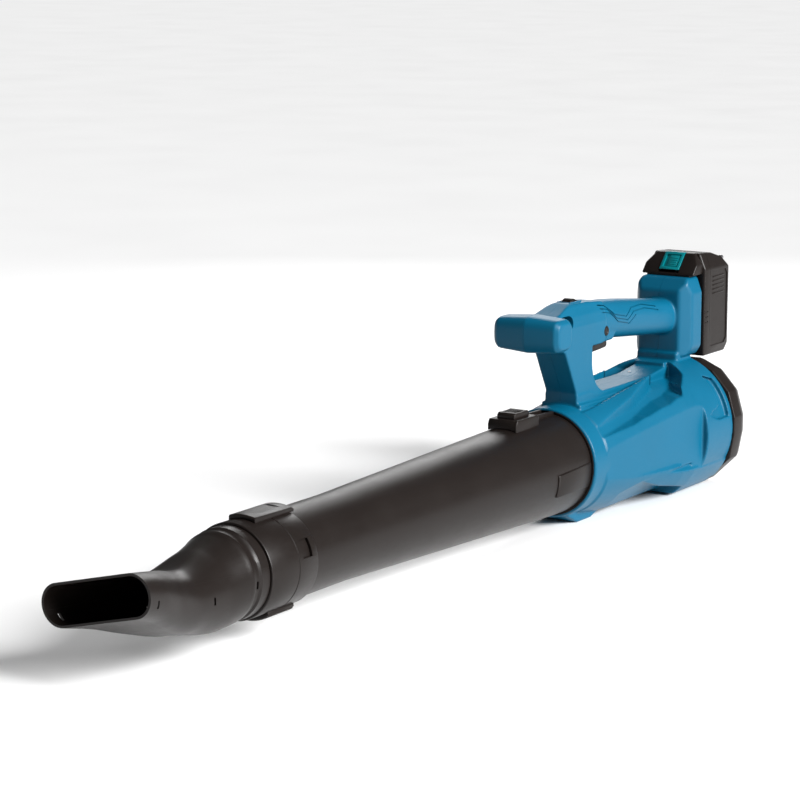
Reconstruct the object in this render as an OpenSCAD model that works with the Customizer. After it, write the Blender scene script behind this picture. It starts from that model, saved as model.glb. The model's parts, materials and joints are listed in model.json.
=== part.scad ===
// Cordless leaf blower: clamshell fan housing with a loop handle, slide-on battery,
// plug-in blow tube and a flat twist-on nozzle.
// Frame: X across (mirror plane at X = 0), Y along the duct (nozzle towards -Y), Z up.
// The origin is on the floor, in the mirror plane, under the middle of the front foot.

/* [Duct] */
// Height of the duct's axis above the floor
axis_h = 71; // [66:0.5:85]
// Outer radius of the blow tube where it enters the housing
tube_r = 56.5; // [48:0.5:60]
// Wall of the blow tube
tube_wall = 2.5; // [1.8:0.1:3.5]
// Visible length of the blow tube, housing mouth to collar
tube_len = 520; // [380:5:640]
// Outer radius of the blow tube's slim front end
tube_tip_r = 44; // [38:0.5:48]
// Depth that the tube plugs into the housing
tube_plug = 36; // [24:1:40]

/* [Nozzle] */
// Length of the nozzle from the collar to its flat mouth
nozzle_len = 194; // [140:5:260]
// Width of the flat mouth outside
mouth_w = 124; // [100:1:130]
// Height of the flat mouth outside
mouth_h = 41; // [32:1:50]
// Rise of the mouth's centre above the duct's axis
mouth_rise = 15; // [0:1:25]
// Roll of the nozzle and collar about the duct's axis
nozzle_roll = 13; // [0:1:20]
// Wall of the nozzle
nozzle_wall = 2.4; // [1.8:0.1:3.2]
// Length of the twist collar
collar_len = 75; // [60:1:95]
// Wall of the twist collar
collar_wall = 2.6; // [2:0.1:4]

/* [Housing] */
// Length of the blue clamshell housing
housing_len = 300; // [285:1:330]
// Largest outer radius of the fan bowl at the back
bowl_r = 84; // [80:0.5:90]
// Wall of the clamshell housing
shell_wall = 2.6; // [2:0.1:3.5]
// Half width of the handle's front pillar and of the deck
pillar_half = 20; // [17:0.5:26]
// Half length of the cross bar at the front of the handle
bar_half = 41; // [36:1:60]
// Height of the handle's ridge above the duct's axis
handle_h = 176; // [168:1:190]
// Half width of the grip
grip_half = 17; // [15:0.5:21]

/* [Fan and motor] */
// Radius of the fan over its blades
fan_r = 60; // [54:0.5:61]
// Number of fan blades
fan_blades = 9; // [5:1:13]
// Radius of the motor can
motor_r = 21; // [18:0.5:23]
// Radius of the motor shaft
shaft_r = 2.5; // [2:0.1:3.5]
// Number of fixed guide vanes
guide_vanes = 7; // [5:1:11]

/* [Battery] */
// Width of the battery
batt_w = 75; // [68:0.5:80]
// Depth of the battery behind its rails
batt_d = 65; // [50:1:75]
// Height of the battery's case
batt_h = 113; // [105:1:130]

/* [Controls] */
// Travel of the trigger
trigger_travel = 5; // [3:0.5:7]
// Width of the trigger
trigger_w = 14; // [10:0.5:18]
// Radius of the lock button
lock_r = 5.5; // [4:0.25:7]
// Travel of the lock button
lock_travel = 3; // [2:0.25:4]
// Radius of the speed wheel
dial_r = 10; // [8:0.5:12]

/* [Fits] */
// Gap round pieces that slide or plug
slide_gap = 0.4; // [0.3:0.05:0.8]
// Gap between fixed pieces that nest
nest_gap = 0.2; // [0.1:0.05:0.4]
// Radial clearance of the shaft in its bearings
run_gap = 0.05; // [0.02:0.01:0.1]

/* [Hidden] */
$fn = 96;
hull_fn = 32;
eps = 0.02;
big = 2000;

blue = [0.02, 0.36, 0.55];
black = [0.09, 0.08, 0.08];
teal = [0.02, 0.55, 0.58];
steel = [0.7, 0.71, 0.73];
copper = [0.72, 0.42, 0.22];
board_green = [0.05, 0.32, 0.16];
cell_red = [0.6, 0.12, 0.1];

// ---------- derived sizes ----------
ring_wall = 2.1;
outlet_r = tube_r + slide_gap;
outlet_out = outlet_r + ring_wall;
mouth_r = outlet_out + nest_gap + shell_wall;
bowl_start = 170;
waist_end = 96;
floor_flat = axis_h - 3;
bowl_top = 77;
deck_half = pillar_half + 5;
deck_z = 70;
deck_front = 30;
ring_len = 32;
ring_back = housing_len + ring_len;

// duct liner, fan and motor stations along Y
liner_front = tube_plug + 6;
liner_back = housing_len - 12;
liner_wall = 2.2;
fan_gap = 1.2;
liner_r = fan_r + fan_gap;
liner_neck = outlet_r - 4;
hub_r = motor_r + 4;
hub_front = 118;
hub_back = 196;
fan_front = 206;
fan_len = 44;
fan_hub_r = hub_r + 1;
bearing_r = 8;
bearing_len = 5;
shaft_front = hub_front + 12;
shaft_back = fan_front + fan_len + 8;

// trigger and its place under the head of the handle
trigger_y = 106;
trigger_len = 36;

// battery and rails
batt_front = housing_len + 12;
batt_z0 = 80;
batt_top = batt_z0 + batt_h;
mount_half = batt_w / 2 - 0.5;
mount_front = 265;
mount_back = batt_front - 5;
mount_z0 = batt_z0 + 4;
mount_top = batt_top - 16;
rail_half = 28;
rail_lip = 4;
rail_front = 289;

// ---------- helpers ----------
// A body turned about the duct's axis from points [radius, y].
module duct_turn(points)
  translate([0, 0, axis_h]) rotate([-90, 0, 0]) rotate_extrude() polygon(points);

// A straight ring or rod on the duct's axis.
module duct_rod(r, y0, y1)
  translate([0, y0, axis_h]) rotate([-90, 0, 0]) cylinder(r = r, h = y1 - y0);

module duct_ring(r_in, r_out, y0, y1)
  difference() {
    duct_rod(r_out, y0, y1);
    duct_rod(r_in, y0 - eps, y1 + eps);
  }

// A slab cut to a side outline of [y, height over the duct's axis], from x0 to x1.
module side_slab(points, x0, x1)
  translate([x0, 0, axis_h]) rotate([90, 0, 90]) linear_extrude(x1 - x0) polygon(points);

// A slab with the side outline given as children, drawn in [y, z].
module side_shape(x0, x1)
  translate([x0, 0, axis_h]) rotate([90, 0, 90]) linear_extrude(x1 - x0) children();

// A box from corner to corner, heights over the duct's axis.
module duct_box(lo, hi)
  translate([lo[0], lo[1], axis_h + lo[2]]) cube(hi - lo);

module both_sides() {
  children();
  mirror([1, 0, 0]) children();
}

// A tube swept along points, with flat ends.
function unit(v) = v / norm(v);
function sweep_dir(p, i) =
  unit(p[min(i + 1, len(p) - 1)] - p[max(i - 1, 0)]);
function sweep_ring(c, d, r, n) =
  let (side = unit(cross(d, abs(d[0]) < 0.9 ? [1, 0, 0] : [0, 1, 0])), up = cross(side, d))
  [for (k = [0 : n - 1]) c + r * (cos(360 * k / n) * side + sin(360 * k / n) * up)];
module sweep_tube(p, r, n = 8) {
  rings = [for (i = [0 : len(p) - 1]) each sweep_ring(p[i], sweep_dir(p, i), r, n)];
  last = (len(p) - 1) * n;
  walls = [for (i = [0 : len(p) - 2], k = [0 : n - 1])
    [i * n + k, i * n + (k + 1) % n, (i + 1) * n + (k + 1) % n, (i + 1) * n + k]];
  caps = [[for (k = [n - 1 : -1 : 0]) k], [for (k = [0 : n - 1]) last + k]];
  polyhedron(points = rings, faces = concat(walls, caps));
}

// ---------- housing ----------
// Outline of the barrel, radius against y, taken in by a wall.
function barrel_points(inset) = [
  [0, -eps * sign(inset)], [mouth_r - inset, -eps * sign(inset)], [mouth_r + 0.5 - inset, waist_end],
  [bowl_r - 14 - inset, bowl_start], [bowl_r - inset, bowl_start + 60],
  [bowl_r - inset, housing_len + eps * sign(inset)], [0, housing_len + eps * sign(inset)]
];

module barrel(inset)
  intersection() {
    duct_turn(barrel_points(inset));
    duct_box([-big, -big, inset - floor_flat], [big, big, bowl_top - inset]);
  }

// Raised side panel that starts in a point and widens towards the back.
panel_proud = 3;
panel_points = [
  [26, 27], [94, 35], [134, 41], [198, 51], [204, 58], [208, bowl_top], [housing_len, bowl_top],
  [housing_len, -floor_flat], [232, -floor_flat], [179, -30], [86, -28], [33, -12], [33, 8]
];
module side_panels()
  intersection() {
    duct_turn(barrel_points(-panel_proud));
    duct_box([-bowl_r - panel_proud / 2, 0, -floor_flat], [bowl_r + panel_proud / 2, housing_len, bowl_top]);
    union() {
      side_slab(panel_points, 30, bowl_r + panel_proud);
      side_slab(panel_points, -bowl_r - panel_proud, -30);
    }
  }

// Front pillar and head of the handle, seen from the side.
window_r = 38;
window_y = 67 + window_r;
window_z = deck_z - 2 + window_r;
head_back = 98;
head_floor = 124;
head_front = -14;
module head_outline(inset)
  difference() {
    polygon([
      [deck_front + inset, deck_z - 20], [deck_front + inset, deck_z + 4],
      [4 + inset, head_floor + 1 - inset / 2], [head_front + inset, head_floor + 5 + inset],
      [head_front + inset, handle_h - 8 - inset], [5, handle_h - 2 - inset], [26, handle_h - inset],
      [67, handle_h - 2 - inset], [head_back, handle_h - 5 - inset], [head_back, head_floor + inset],
      [window_y, head_floor + inset], [window_y, deck_z - 20]
    ]);
    translate([window_y, window_z]) circle(window_r + inset);
    translate([window_y - window_r - inset, window_z])
      square([window_r + inset + eps, head_floor - window_z + inset]);
  }

// Deeper block under the head that holds the switch, the trigger and the lock button.
boss_half = pillar_half - 2.5;
boss_back = trigger_y + trigger_len / 2 + 4;
module trigger_boss(inset)
  side_slab([
    [60, head_floor + inset], [60, head_floor + 26], [boss_back - inset, head_floor + 26],
    [boss_back - inset, head_floor + 6], [boss_back - 6 - inset, head_floor + inset]
  ], inset - boss_half, boss_half - inset);

// Stations of the grip: y, centre height, half height, half width.
grip_stations = [
  [head_back - 14, handle_h - 26.5, 21.5, grip_half + 1], [150, handle_h - 29, 19.5, grip_half],
  [200, handle_h - 35, 18.5, grip_half], [mount_front + 6, handle_h - 44, 20, grip_half + 3]
];
module grip(inset)
  hull() for (s = grip_stations)
    translate([0, s[0], axis_h + s[1]]) rotate([90, 0, 0])
      scale([s[3] - inset, s[2] - inset, 1]) cylinder(r = 1, h = 1, $fn = hull_fn);

// Cross bar: three rounded sections along X.
bar_y = -34;
bar_z = handle_h - 26;
bar_stations = [[0, 22, 21], [bar_half - 3, 18, 17.5], [bar_half, 15.5, 15]];
module bar(inset)
  hull() both_sides() for (s = bar_stations)
    translate([max(0, s[0] - inset), bar_y, axis_h + bar_z]) rotate([0, 90, 0])
      bar_section(s[1] - inset, s[2] - inset);
module bar_section(half_y, half_z) {
  corner = 9;
  for (a = [-1, 1], b = [-1, 1])
    translate([a * (half_z - corner), b * (half_y - corner), -0.5])
      cylinder(r = corner, h = 0.5, $fn = hull_fn);
}

// Deck that carries the pillar and the neck of the battery mount.
function deck_outline(inset) = [
  [deck_front + inset, 30], [deck_front + inset, deck_z + 4 - inset], [60, deck_z + 4 - inset],
  [78, deck_z - inset], [200, deck_z - inset], [mount_front - 5, deck_z + 8 - inset],
  [housing_len - inset, deck_z + 8 - inset], [housing_len - inset, 30]
];
module deck(inset)
  side_slab(deck_outline(inset), inset - deck_half, deck_half - inset);

// Battery mount: chamfered block on a neck.
module mount_block(inset)
  intersection() {
    translate([0, 0, axis_h + mount_z0 + inset]) linear_extrude(mount_top - mount_z0 - 2 * inset)
      polygon([
        [mount_half - inset, mount_back], [mount_half - inset, mount_front + 14],
        [mount_half - 11 - inset / 2, mount_front + inset], [11 + inset / 2 - mount_half, mount_front + inset],
        [inset - mount_half, mount_front + 14], [inset - mount_half, mount_back]
      ]);
    side_slab([
      [mount_front - 2, mount_z0 - 2], [mount_front - 2, mount_top - 16 - inset],
      [mount_front + 16, mount_top - inset], [mount_back + 2, mount_top - inset], [mount_back + 2, mount_z0 - 2]
    ], -mount_half - 1, mount_half + 1);
    translate([0, mount_back + 5, axis_h]) rotate([90, 0, 0]) linear_extrude(60) polygon([
      [mount_half - inset, mount_z0 + 11], [mount_half - inset, mount_top - 20],
      [mount_half - 6 - inset / 2, mount_top + 1], [6 + inset / 2 - mount_half, mount_top + 1],
      [inset - mount_half, mount_top - 20], [inset - mount_half, mount_z0 + 11],
      [7 + inset / 2 - mount_half, mount_z0 - 1], [mount_half - 7 - inset / 2, mount_z0 - 1]
    ]);
  }
neck_half = deck_half + 2;
module neck(inset)
  duct_box([inset - neck_half, mount_front - 5 + inset, deck_z - 14],
    [neck_half - inset, housing_len - inset, mount_z0 + 3 + inset]);

// Feet: the front one under the mouth, the rear one under the fan bowl.
foot_half = 29;
foot_front = 20;
foot_back = 62;
stand_y = (foot_front + foot_back) / 2;
module feet() {
  side_slab([
    [-2, -46], [-2, -floor_flat + 4], [foot_front, -axis_h], [foot_back, -axis_h], [96, 4 - mouth_r], [96, -46]
  ], -foot_half, foot_half);
  side_slab([
    [218, shell_wall - floor_flat], [218, -floor_flat], [240, -axis_h], [284, -axis_h],
    [292, -floor_flat], [292, shell_wall - floor_flat]
  ], -foot_half, foot_half);
}

// Everything the shell fills, and the hollow inside it.
module housing_skin() {
  barrel(0);
  side_panels();
  deck(0);
  side_shape(-pillar_half, pillar_half) head_outline(0);
  trigger_boss(0);
  grip(0);
  bar(0);
  neck(0);
  mount_block(0);
  difference() {
    feet();
    duct_rod(mouth_r - eps, -5, waist_end + 20);
  }
}

module housing_hollow() {
  barrel(shell_wall);
  deck(shell_wall);
  side_shape(shell_wall - pillar_half, pillar_half - shell_wall) head_outline(shell_wall);
  trigger_boss(shell_wall);
  grip(shell_wall);
  bar(shell_wall);
  neck(shell_wall);
  mount_pocket();
}
// Hollow of the mount in front of the rail plate.
plate_front = rail_front - 6;
module mount_pocket()
  intersection() {
    mount_block(shell_wall);
    duct_box([-big, mount_front, mount_z0], [big, plate_front - shell_wall, mount_top]);
  }

// Channel for the battery's rails, open at the back and at the top.
module rail_channel() {
  duct_box([-rail_half - slide_gap, rail_front - slide_gap, mount_z0 + shell_wall + 3],
    [rail_half + slide_gap, rail_front + 9 + slide_gap, mount_top + 10]);
  duct_box([rail_lip - rail_half - slide_gap, rail_front - slide_gap, mount_z0 + shell_wall + 3],
    [rail_half - rail_lip + slide_gap, mount_back + 5, mount_top + 10]);
}

// Ribs that locate the duct liner.
liner_out = liner_r + liner_wall;
module liner_ribs()
  for (y = [bowl_start + 44, liner_back - 14])
    intersection() {
      duct_ring(liner_out + nest_gap, bowl_r - shell_wall / 2, y, y + 3);
      duct_box([-big, -big, shell_wall / 2 - floor_flat], [big, big, bowl_top - shell_wall / 2]);
    }

// Bosses that take the rear ring's screws.
module ring_bosses()
  intersection() {
    for (a = ring_screw_angles)
      translate([ring_screw_orbit * cos(a), housing_len - 16, axis_h + ring_screw_orbit * sin(a) * ring_squash])
        rotate([-90, 0, 0]) cylinder(r = post_r + 3.5, h = 16);
    barrel(shell_wall / 2);
  }

// Screw posts: each place is [y, height over the axis, half length of the post].
screw_places = [
  [42, 68, deck_half - 1], [34, 140, pillar_half - 1], [74, 152, pillar_half - 1],
  [150, 135, grip_half - 2], [236, 125, grip_half - 2], [212, 69, deck_half - 1],
  [280, 76, deck_half - 1]
];
post_r = 4.6;
screw_r = 1.5;
screw_head_r = 3.2;
screw_head = 2.4;
module screw_posts()
  for (p = screw_places)
    translate([-p[2], p[0], axis_h + p[1]]) rotate([0, 90, 0]) cylinder(r = post_r, h = 2 * p[2]);
module screw_bores()
  for (p = screw_places) {
    translate([-pillar_half - 8, p[0], axis_h + p[1]]) rotate([0, 90, 0])
      cylinder(r = screw_r + nest_gap, h = pillar_half + 22);
    translate([-deck_half - 20, p[0], axis_h + p[1]]) rotate([0, 90, 0])
      cylinder(r = screw_head_r + nest_gap, h = deck_half + 20 - 8);
  }

// Openings in the shell for the controls, the strap and the leads.
lock_y = 99;
lock_z = 137;
dial_y = 46;
dial_z = handle_h - dial_r + 3.2;
bezel_half = dial_r + 2.5;
bezel_w = 9;
strap_y = 12;
strap_z = handle_h - 19;
strap_r = 7;
module shell_openings() {
  duct_box([-trigger_w / 2 - slide_gap, trigger_y - trigger_len / 2 - slide_gap, head_floor - 16],
    [trigger_w / 2 + slide_gap, trigger_y + trigger_len / 2 + slide_gap, head_floor + 14]);
  translate([-big / 2, lock_y, axis_h + lock_z]) rotate([0, 90, 0]) cylinder(r = lock_r + slide_gap, h = big);
  duct_box([-7, dial_y - dial_r - 1, dial_z], [7, dial_y + dial_r + 1, handle_h + 5]);
  duct_box([-bezel_w - nest_gap, dial_y - bezel_half - nest_gap, handle_h - 3 - nest_gap],
    [bezel_w + nest_gap, dial_y + bezel_half + nest_gap, handle_h + 5]);
  rail_channel();
  for (x = [-12, 0, 12])
    duct_box([x - 0.5 - nest_gap, plate_front - 8, term_z - 8.5 - nest_gap],
      [x + 0.5 + nest_gap, rail_front + 1, term_z + 8.5 + nest_gap]);
  duct_rod(outlet_out + nest_gap, -5, liner_front);
  ring_screw_shapes(nest_gap);
}

module strap_hole()
  side_shape(-big / 2, big / 2) {
    translate([strap_y - 5, strap_z]) circle(strap_r);
    translate([strap_y + 5, strap_z]) circle(strap_r);
    translate([strap_y - 5, strap_z - strap_r]) square([10, 2 * strap_r]);
  }
module strap_sleeve()
  side_shape(-pillar_half + 1, pillar_half - 1) {
    translate([strap_y - 5, strap_z]) circle(strap_r + 2);
    translate([strap_y + 5, strap_z]) circle(strap_r + 2);
    translate([strap_y - 5, strap_z - strap_r - 2]) square([10, 2 * strap_r + 4]);
  }

module housing_shell()
  difference() {
    union() {
      difference() {
        housing_skin();
        housing_hollow();
      }
      liner_ribs();
      ring_bosses();
      intersection() {
        housing_skin();
        union() {
          screw_posts();
          strap_sleeve();
        }
      }
    }
    shell_openings();
    strap_hole();
    screw_bores();
  }

module housing_right() color(blue)
  intersection() {
    housing_shell();
    translate([0, -big / 2, -big / 2]) cube(big);
  }
module housing_left() color(blue)
  intersection() {
    housing_shell();
    translate([-big, -big / 2, -big / 2]) cube(big);
  }

// ---------- duct ends ----------
module outlet_ring() color(black)
  difference() {
    duct_ring(outlet_r, outlet_out, -1.5, liner_front - 1);
    latch_notch();
  }
// Slot in the top of the outlet ring for the tube's latch rails.
module latch_notch()
  duct_box([-latch_rail_half - 1, -3, tube_r - 4], [latch_rail_half + 1, 14, mouth_r + 10]);

ring_points = [
  [0, bowl_top], [30, bowl_top], [55, 66], [77, 42], [bowl_r + 2, 12], [bowl_r + 2, -8],
  [80, -38], [50, 1 - floor_flat], [0, 1 - floor_flat]
];
function mirrored(p) = [for (i = [len(p) - 1 : -1 : 0]) [-p[i][0], p[i][1]]];
module ring_prism(points, y0, y1)
  translate([0, y1, axis_h]) rotate([90, 0, 0]) linear_extrude(y1 - y0)
    polygon(concat(points, mirrored(points)));
throat_r = liner_r - 1;
module rear_ring() color(black)
  difference() {
    ring_prism(ring_points, housing_len, ring_back);
    duct_turn([
      [0, housing_len - 1], [throat_r, housing_len - 1], [throat_r, ring_back - 10],
      [throat_r + 3, ring_back + 1], [0, ring_back + 1]
    ]);
    ring_screw_shapes(nest_gap);
  }

// Grille: rings and spokes in a seat in the throat.
grille_y = ring_back - 20;
grille_t = 4;
grille_rings = [16 : 8 : throat_r - 8];
module intake_grille() color(black) {
  duct_rod(9, grille_y, grille_y + grille_t);
  for (r = grille_rings) duct_ring(r - 1.2, r + 1.2, grille_y, grille_y + grille_t);
  duct_ring(throat_r - nest_gap - 2, throat_r - nest_gap, grille_y - 4, grille_y + grille_t);
  for (a = [0 : 30 : 359])
    translate([0, grille_y + 0.5, axis_h]) rotate([0, a, 0]) translate([8, 0, -1.2])
      cube([throat_r - nest_gap - 9, grille_t - 1, 2.4]);
}

ring_screw_angles = [32, 148, 212, 328];
ring_screw_orbit = bowl_r - 5;
ring_squash = 0.86;
module ring_screw_shapes(gap)
  for (a = ring_screw_angles)
    translate([ring_screw_orbit * cos(a), ring_back - 5, axis_h + ring_screw_orbit * sin(a) * ring_squash])
      rotate([-90, 0, 0]) {
        cylinder(r = screw_head_r + gap, h = 8);
        translate([0, 0, -40]) cylinder(r = screw_r + gap, h = 41);
      }
module ring_screws() color(steel)
  intersection() {
    ring_screw_shapes(0);
    duct_box([-big, housing_len - 12, -big], [big, ring_back - 2.6, big]);
  }

// ---------- duct liner, guide vanes and motor seat ----------
lead_y = hub_back - 8;
lead_half = 5;
module lead_slot()
  duct_box([-lead_half, lead_y - 2, motor_r], [lead_half, lead_y + 2, liner_out + 5]);
module fan_duct() color(black) {
  difference() {
    duct_turn([
      [liner_neck, liner_front], [liner_neck + liner_wall, liner_front], [liner_neck + liner_wall, 100],
      [liner_out, bowl_start + 30], [liner_out, liner_back], [liner_r, liner_back],
      [liner_r, bowl_start + 30], [liner_neck, 100]
    ]);
    lead_slot();
  }
  difference() {
    duct_rod(hub_r, hub_front, hub_back);
    duct_rod(motor_r + nest_gap, hub_front + 4, hub_back + 1);
    duct_rod(bearing_r - 2, hub_front - 1, hub_back);
    lead_slot();
  }
  for (k = [0 : guide_vanes - 1])
    intersection() {
      translate([0, 0, axis_h]) rotate([0, 360 * k / guide_vanes + 10, 0])
        translate([0, (hub_front + hub_back) / 2, 0]) rotate([0, 0, 14])
          translate([-1, -26, hub_r - 1]) cube([2, 52, fan_r]);
      vane_space();
    }
}
// Room between the hub and the liner.
module vane_space()
  difference() {
    duct_turn([
      [0, liner_front], [liner_neck + 1, liner_front], [liner_neck + 1, 100],
      [liner_r + 1, bowl_start + 30], [liner_r + 1, liner_back], [0, liner_back]
    ]);
    duct_rod(hub_r - 0.5, 0, housing_len);
  }

module tail_cone() color(black)
  duct_turn([
    [0, hub_front - 34], [6, hub_front - 33], [14, hub_front - 26], [hub_r - 3, hub_front - 10],
    [hub_r, hub_front], [hub_r - 2.5, hub_front], [hub_r - 5, hub_front - 9], [0, hub_front - 26]
  ]);

// ---------- motor ----------
can_front = hub_front + 4;
can_back = hub_back - 2;
can_wall = 1.5;
module motor_can() color(steel)
  difference() {
    duct_rod(motor_r, can_front, can_back);
    duct_rod(motor_r - can_wall, can_front + 8, can_back - 8);
    duct_rod(bearing_r + eps, can_front - 1, can_front + 7);
    duct_rod(bearing_r + eps, can_back - 7, can_back + 1);
    duct_rod(bearing_r - 2, can_front, can_back);
  }
stator_in = 12;
module motor_stator() color(copper) {
  duct_ring(motor_r - can_wall - 3, motor_r - can_wall - nest_gap, can_front + 14, can_back - 14);
  for (a = [0 : 60 : 359])
    translate([0, 0, axis_h]) rotate([0, a, 0]) translate([-3, can_front + 13, stator_in + 0.2])
      cube([6, can_back - can_front - 26, motor_r - can_wall - 3 - stator_in]);
}
module motor_rotor() color(steel)
  duct_ring(shaft_r, stator_in - 0.6, can_front + 14, can_back - 14);
module motor_shaft() color(steel)
  duct_rod(shaft_r, shaft_front, shaft_back);
module bearings() color(steel)
  for (y = [can_front + 1.5, can_back - 6.5])
    duct_ring(shaft_r + run_gap, bearing_r, y, y + bearing_len);

// ---------- fan ----------
module fan_impeller() color(black)
  difference() {
    union() {
      difference() {
        duct_turn([
          [0, fan_front], [fan_hub_r, fan_front], [fan_hub_r, fan_front + 24],
          [fan_hub_r - 6, fan_front + 38], [8, fan_front + fan_len], [0, fan_front + fan_len]
        ]);
        duct_ring(7, fan_hub_r - 3, fan_front - 1, fan_front + 26);
      }
      for (k = [0 : fan_blades - 1])
        intersection() {
          translate([0, 0, axis_h]) rotate([0, 360 * k / fan_blades, 0])
            translate([0, fan_front + 19, 0]) rotate([0, 0, -38])
              translate([-1.1, -24, fan_hub_r - 8]) cube([2.2, 48, fan_r]);
          duct_ring(fan_hub_r - 1.5, fan_r, fan_front + 2, fan_front + 36);
        }
    }
    duct_rod(shaft_r, 0, big);
  }
module fan_nut() color(steel)
  difference() {
    translate([0, fan_front + fan_len, axis_h]) rotate([-90, 0, 0]) cylinder(r = 5.5, h = 5, $fn = 6);
    duct_rod(shaft_r, 0, big);
  }

// ---------- controls in the handle ----------
switch_z0 = head_floor + 16;
switch_top = handle_h - 18;
module switch_body() color(black)
  difference() {
    duct_box([-9, trigger_y - 20, switch_z0], [9, trigger_y + 22, switch_top]);
    duct_box([-4, trigger_y - 8, switch_z0 - 1], [4, trigger_y + 8, switch_z0 + trigger_travel + 3]);
  }

// Trigger: a paddle with a plunger that enters the switch.
trigger_lip = 10;
module trigger() color(black) {
  difference() {
    duct_box([-trigger_w / 2, trigger_y - trigger_len / 2, head_floor - trigger_lip],
      [trigger_w / 2, trigger_y + trigger_len / 2, head_floor + 5]);
    translate([-big / 2, trigger_y - 2, axis_h + head_floor - trigger_lip - 38])
      rotate([0, 90, 0]) cylinder(r = 40, h = big);
    translate([0, trigger_y, axis_h + head_floor + 2]) cylinder(r = spring_r + 1, h = 4);
  }
  duct_box([-3, trigger_y - 7, head_floor + 4], [3, trigger_y - spring_r - 1.5, switch_z0 + 2]);
}
spring_r = 3;
spring_wire = 0.4;
// Coil spring between two heights, standing on Z.
module coil(x, y, z0, z1, r, turns)
  translate([x, y, 0])
    sweep_tube([for (i = [0 : turns * 12])
      [r * cos(30 * i), r * sin(30 * i), axis_h + z0 + (z1 - z0) * i / (turns * 12)]], spring_wire, 6);
module trigger_spring() color(steel)
  coil(0, trigger_y, head_floor + 2 + spring_wire, switch_z0 - 0.2 - spring_wire, spring_r, 6);

// Lock button: a pin across the handle, proud on the right side.
lock_x = boss_half - shell_wall - 2.3;
module lock_button() color(black)
  translate([0, lock_y, axis_h + lock_z]) rotate([0, 90, 0]) {
    translate([0, 0, lock_x]) cylinder(r = lock_r, h = boss_half - lock_x + lock_travel);
    translate([0, 0, lock_x]) cylinder(r = lock_r + 1.6, h = 1.2);
  }

// Speed wheel in its bezel on the ridge.
module dial_bezel() color(blue)
  difference() {
    duct_box([-bezel_w, dial_y - bezel_half, handle_h - 3], [bezel_w, dial_y + bezel_half, handle_h + 0.4]);
    duct_box([-7.5, dial_y - dial_r - 1.5, handle_h - 5], [7.5, dial_y + dial_r + 1.5, handle_h + 4]);
  }
dial_axle_r = 1.5;
module speed_dial() color(black)
  translate([0, dial_y, axis_h + dial_z]) rotate([0, 90, 0]) difference() {
    union() {
      translate([0, 0, -6]) cylinder(r = dial_r, h = 12);
      translate([0, 0, -8]) cylinder(r = dial_axle_r, h = 16);
    }
    for (a = [0 : 15 : 359])
      rotate([0, 0, a]) translate([dial_r + 0.2, 0, -7]) cylinder(r = 0.8, h = 14, $fn = 16);
  }
module speed_sensor() color(board_green)
  difference() {
    duct_box([-12, dial_y - 9, dial_z - 10], [12, dial_y + 9, dial_z + 2.6]);
    duct_box([-7, dial_y - 20, dial_z - 11], [7, dial_y + 20, dial_z + 8]);
    translate([-10, dial_y, axis_h + dial_z]) rotate([0, 90, 0]) cylinder(r = dial_axle_r + run_gap, h = 20);
  }

// Control board on the deck's floor, with its power transistors.
board_z = deck_z - 7.4;
board_t = 1.2;
board_y = [118, 194];
module control_board() color(board_green) {
  difference() {
    duct_box([-14, board_y[0], board_z], [14, board_y[1], board_z + board_t]);
    duct_box([-lead_half - 1, lead_y - 3, board_z - 1], [lead_half + 1, board_y[1] + 1, board_z + 3]);
  }
  duct_box([-9, 124, board_z + board_t], [9, 144, board_z + board_t + 3]);
  for (y = [150 : 8 : 174]) duct_box([-6, y, board_z + board_t], [6, y + 5, board_z + board_t + 2]);
}

// ---------- wires ----------
wire_r = 1.1;
wire_gap = 3;
module motor_leads() color(cell_red)
  for (x = [-wire_gap, 0, wire_gap])
    translate([x, lead_y, axis_h + motor_r + 0.1]) cylinder(r = wire_r, h = board_z + board_t - motor_r, $fn = 16);
module battery_leads() color(cell_red)
  for (x = [-wire_gap, wire_gap])
    translate([x, 0, axis_h])
      sweep_tube([
        [0, trigger_y + 22.4, 147], [0, 140, 147], [0, 160, 146], [0, 185, 143], [0, 210, 139],
        [0, 235, 136], [0, 255, 134], [0, 268, 133], [0, 274.5, 133]
      ], wire_r);
module switch_leads() color(cell_red)
  for (x = [-wire_gap, 0, wire_gap])
    translate([x, 0, axis_h])
      sweep_tube([
        [0, trigger_y - 20.4, 144], [0, 72, 141], [0, 60, 132], [0, 53, 118], [0, 50, 102],
        [0, 53, 88], [0, 62, 77], [0, 76, 69], [0, 92, 65.4], [0, 106, 64.2], [0, board_y[0] - 0.2, 63.8]
      ], wire_r);

// ---------- battery terminals on the tool ----------
term_z = (mount_z0 + mount_top) / 2;
module terminal_block() color(black)
  difference() {
    duct_box([-19, plate_front - 8, term_z - 12], [19, plate_front - shell_wall - nest_gap, term_z + 16]);
    for (x = [-12, 0, 12])
      duct_box([x - 0.6, plate_front - 9, term_z - 9], [x + 0.6, plate_front, term_z + 9]);
  }
module terminal_blades() color(copper)
  for (x = [-12, 0, 12])
    duct_box([x - 0.5, plate_front - 8, term_z - 8.5], [x + 0.5, rail_front + 5, term_z + 8.5]);

module housing_screws() color(steel)
  for (p = screw_places)
    translate([-8, p[0], axis_h + p[1]]) rotate([0, 90, 0]) {
      translate([0, 0, -screw_head]) cylinder(r = screw_head_r, h = screw_head);
      cylinder(r = screw_r, h = 20);
    }

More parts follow.
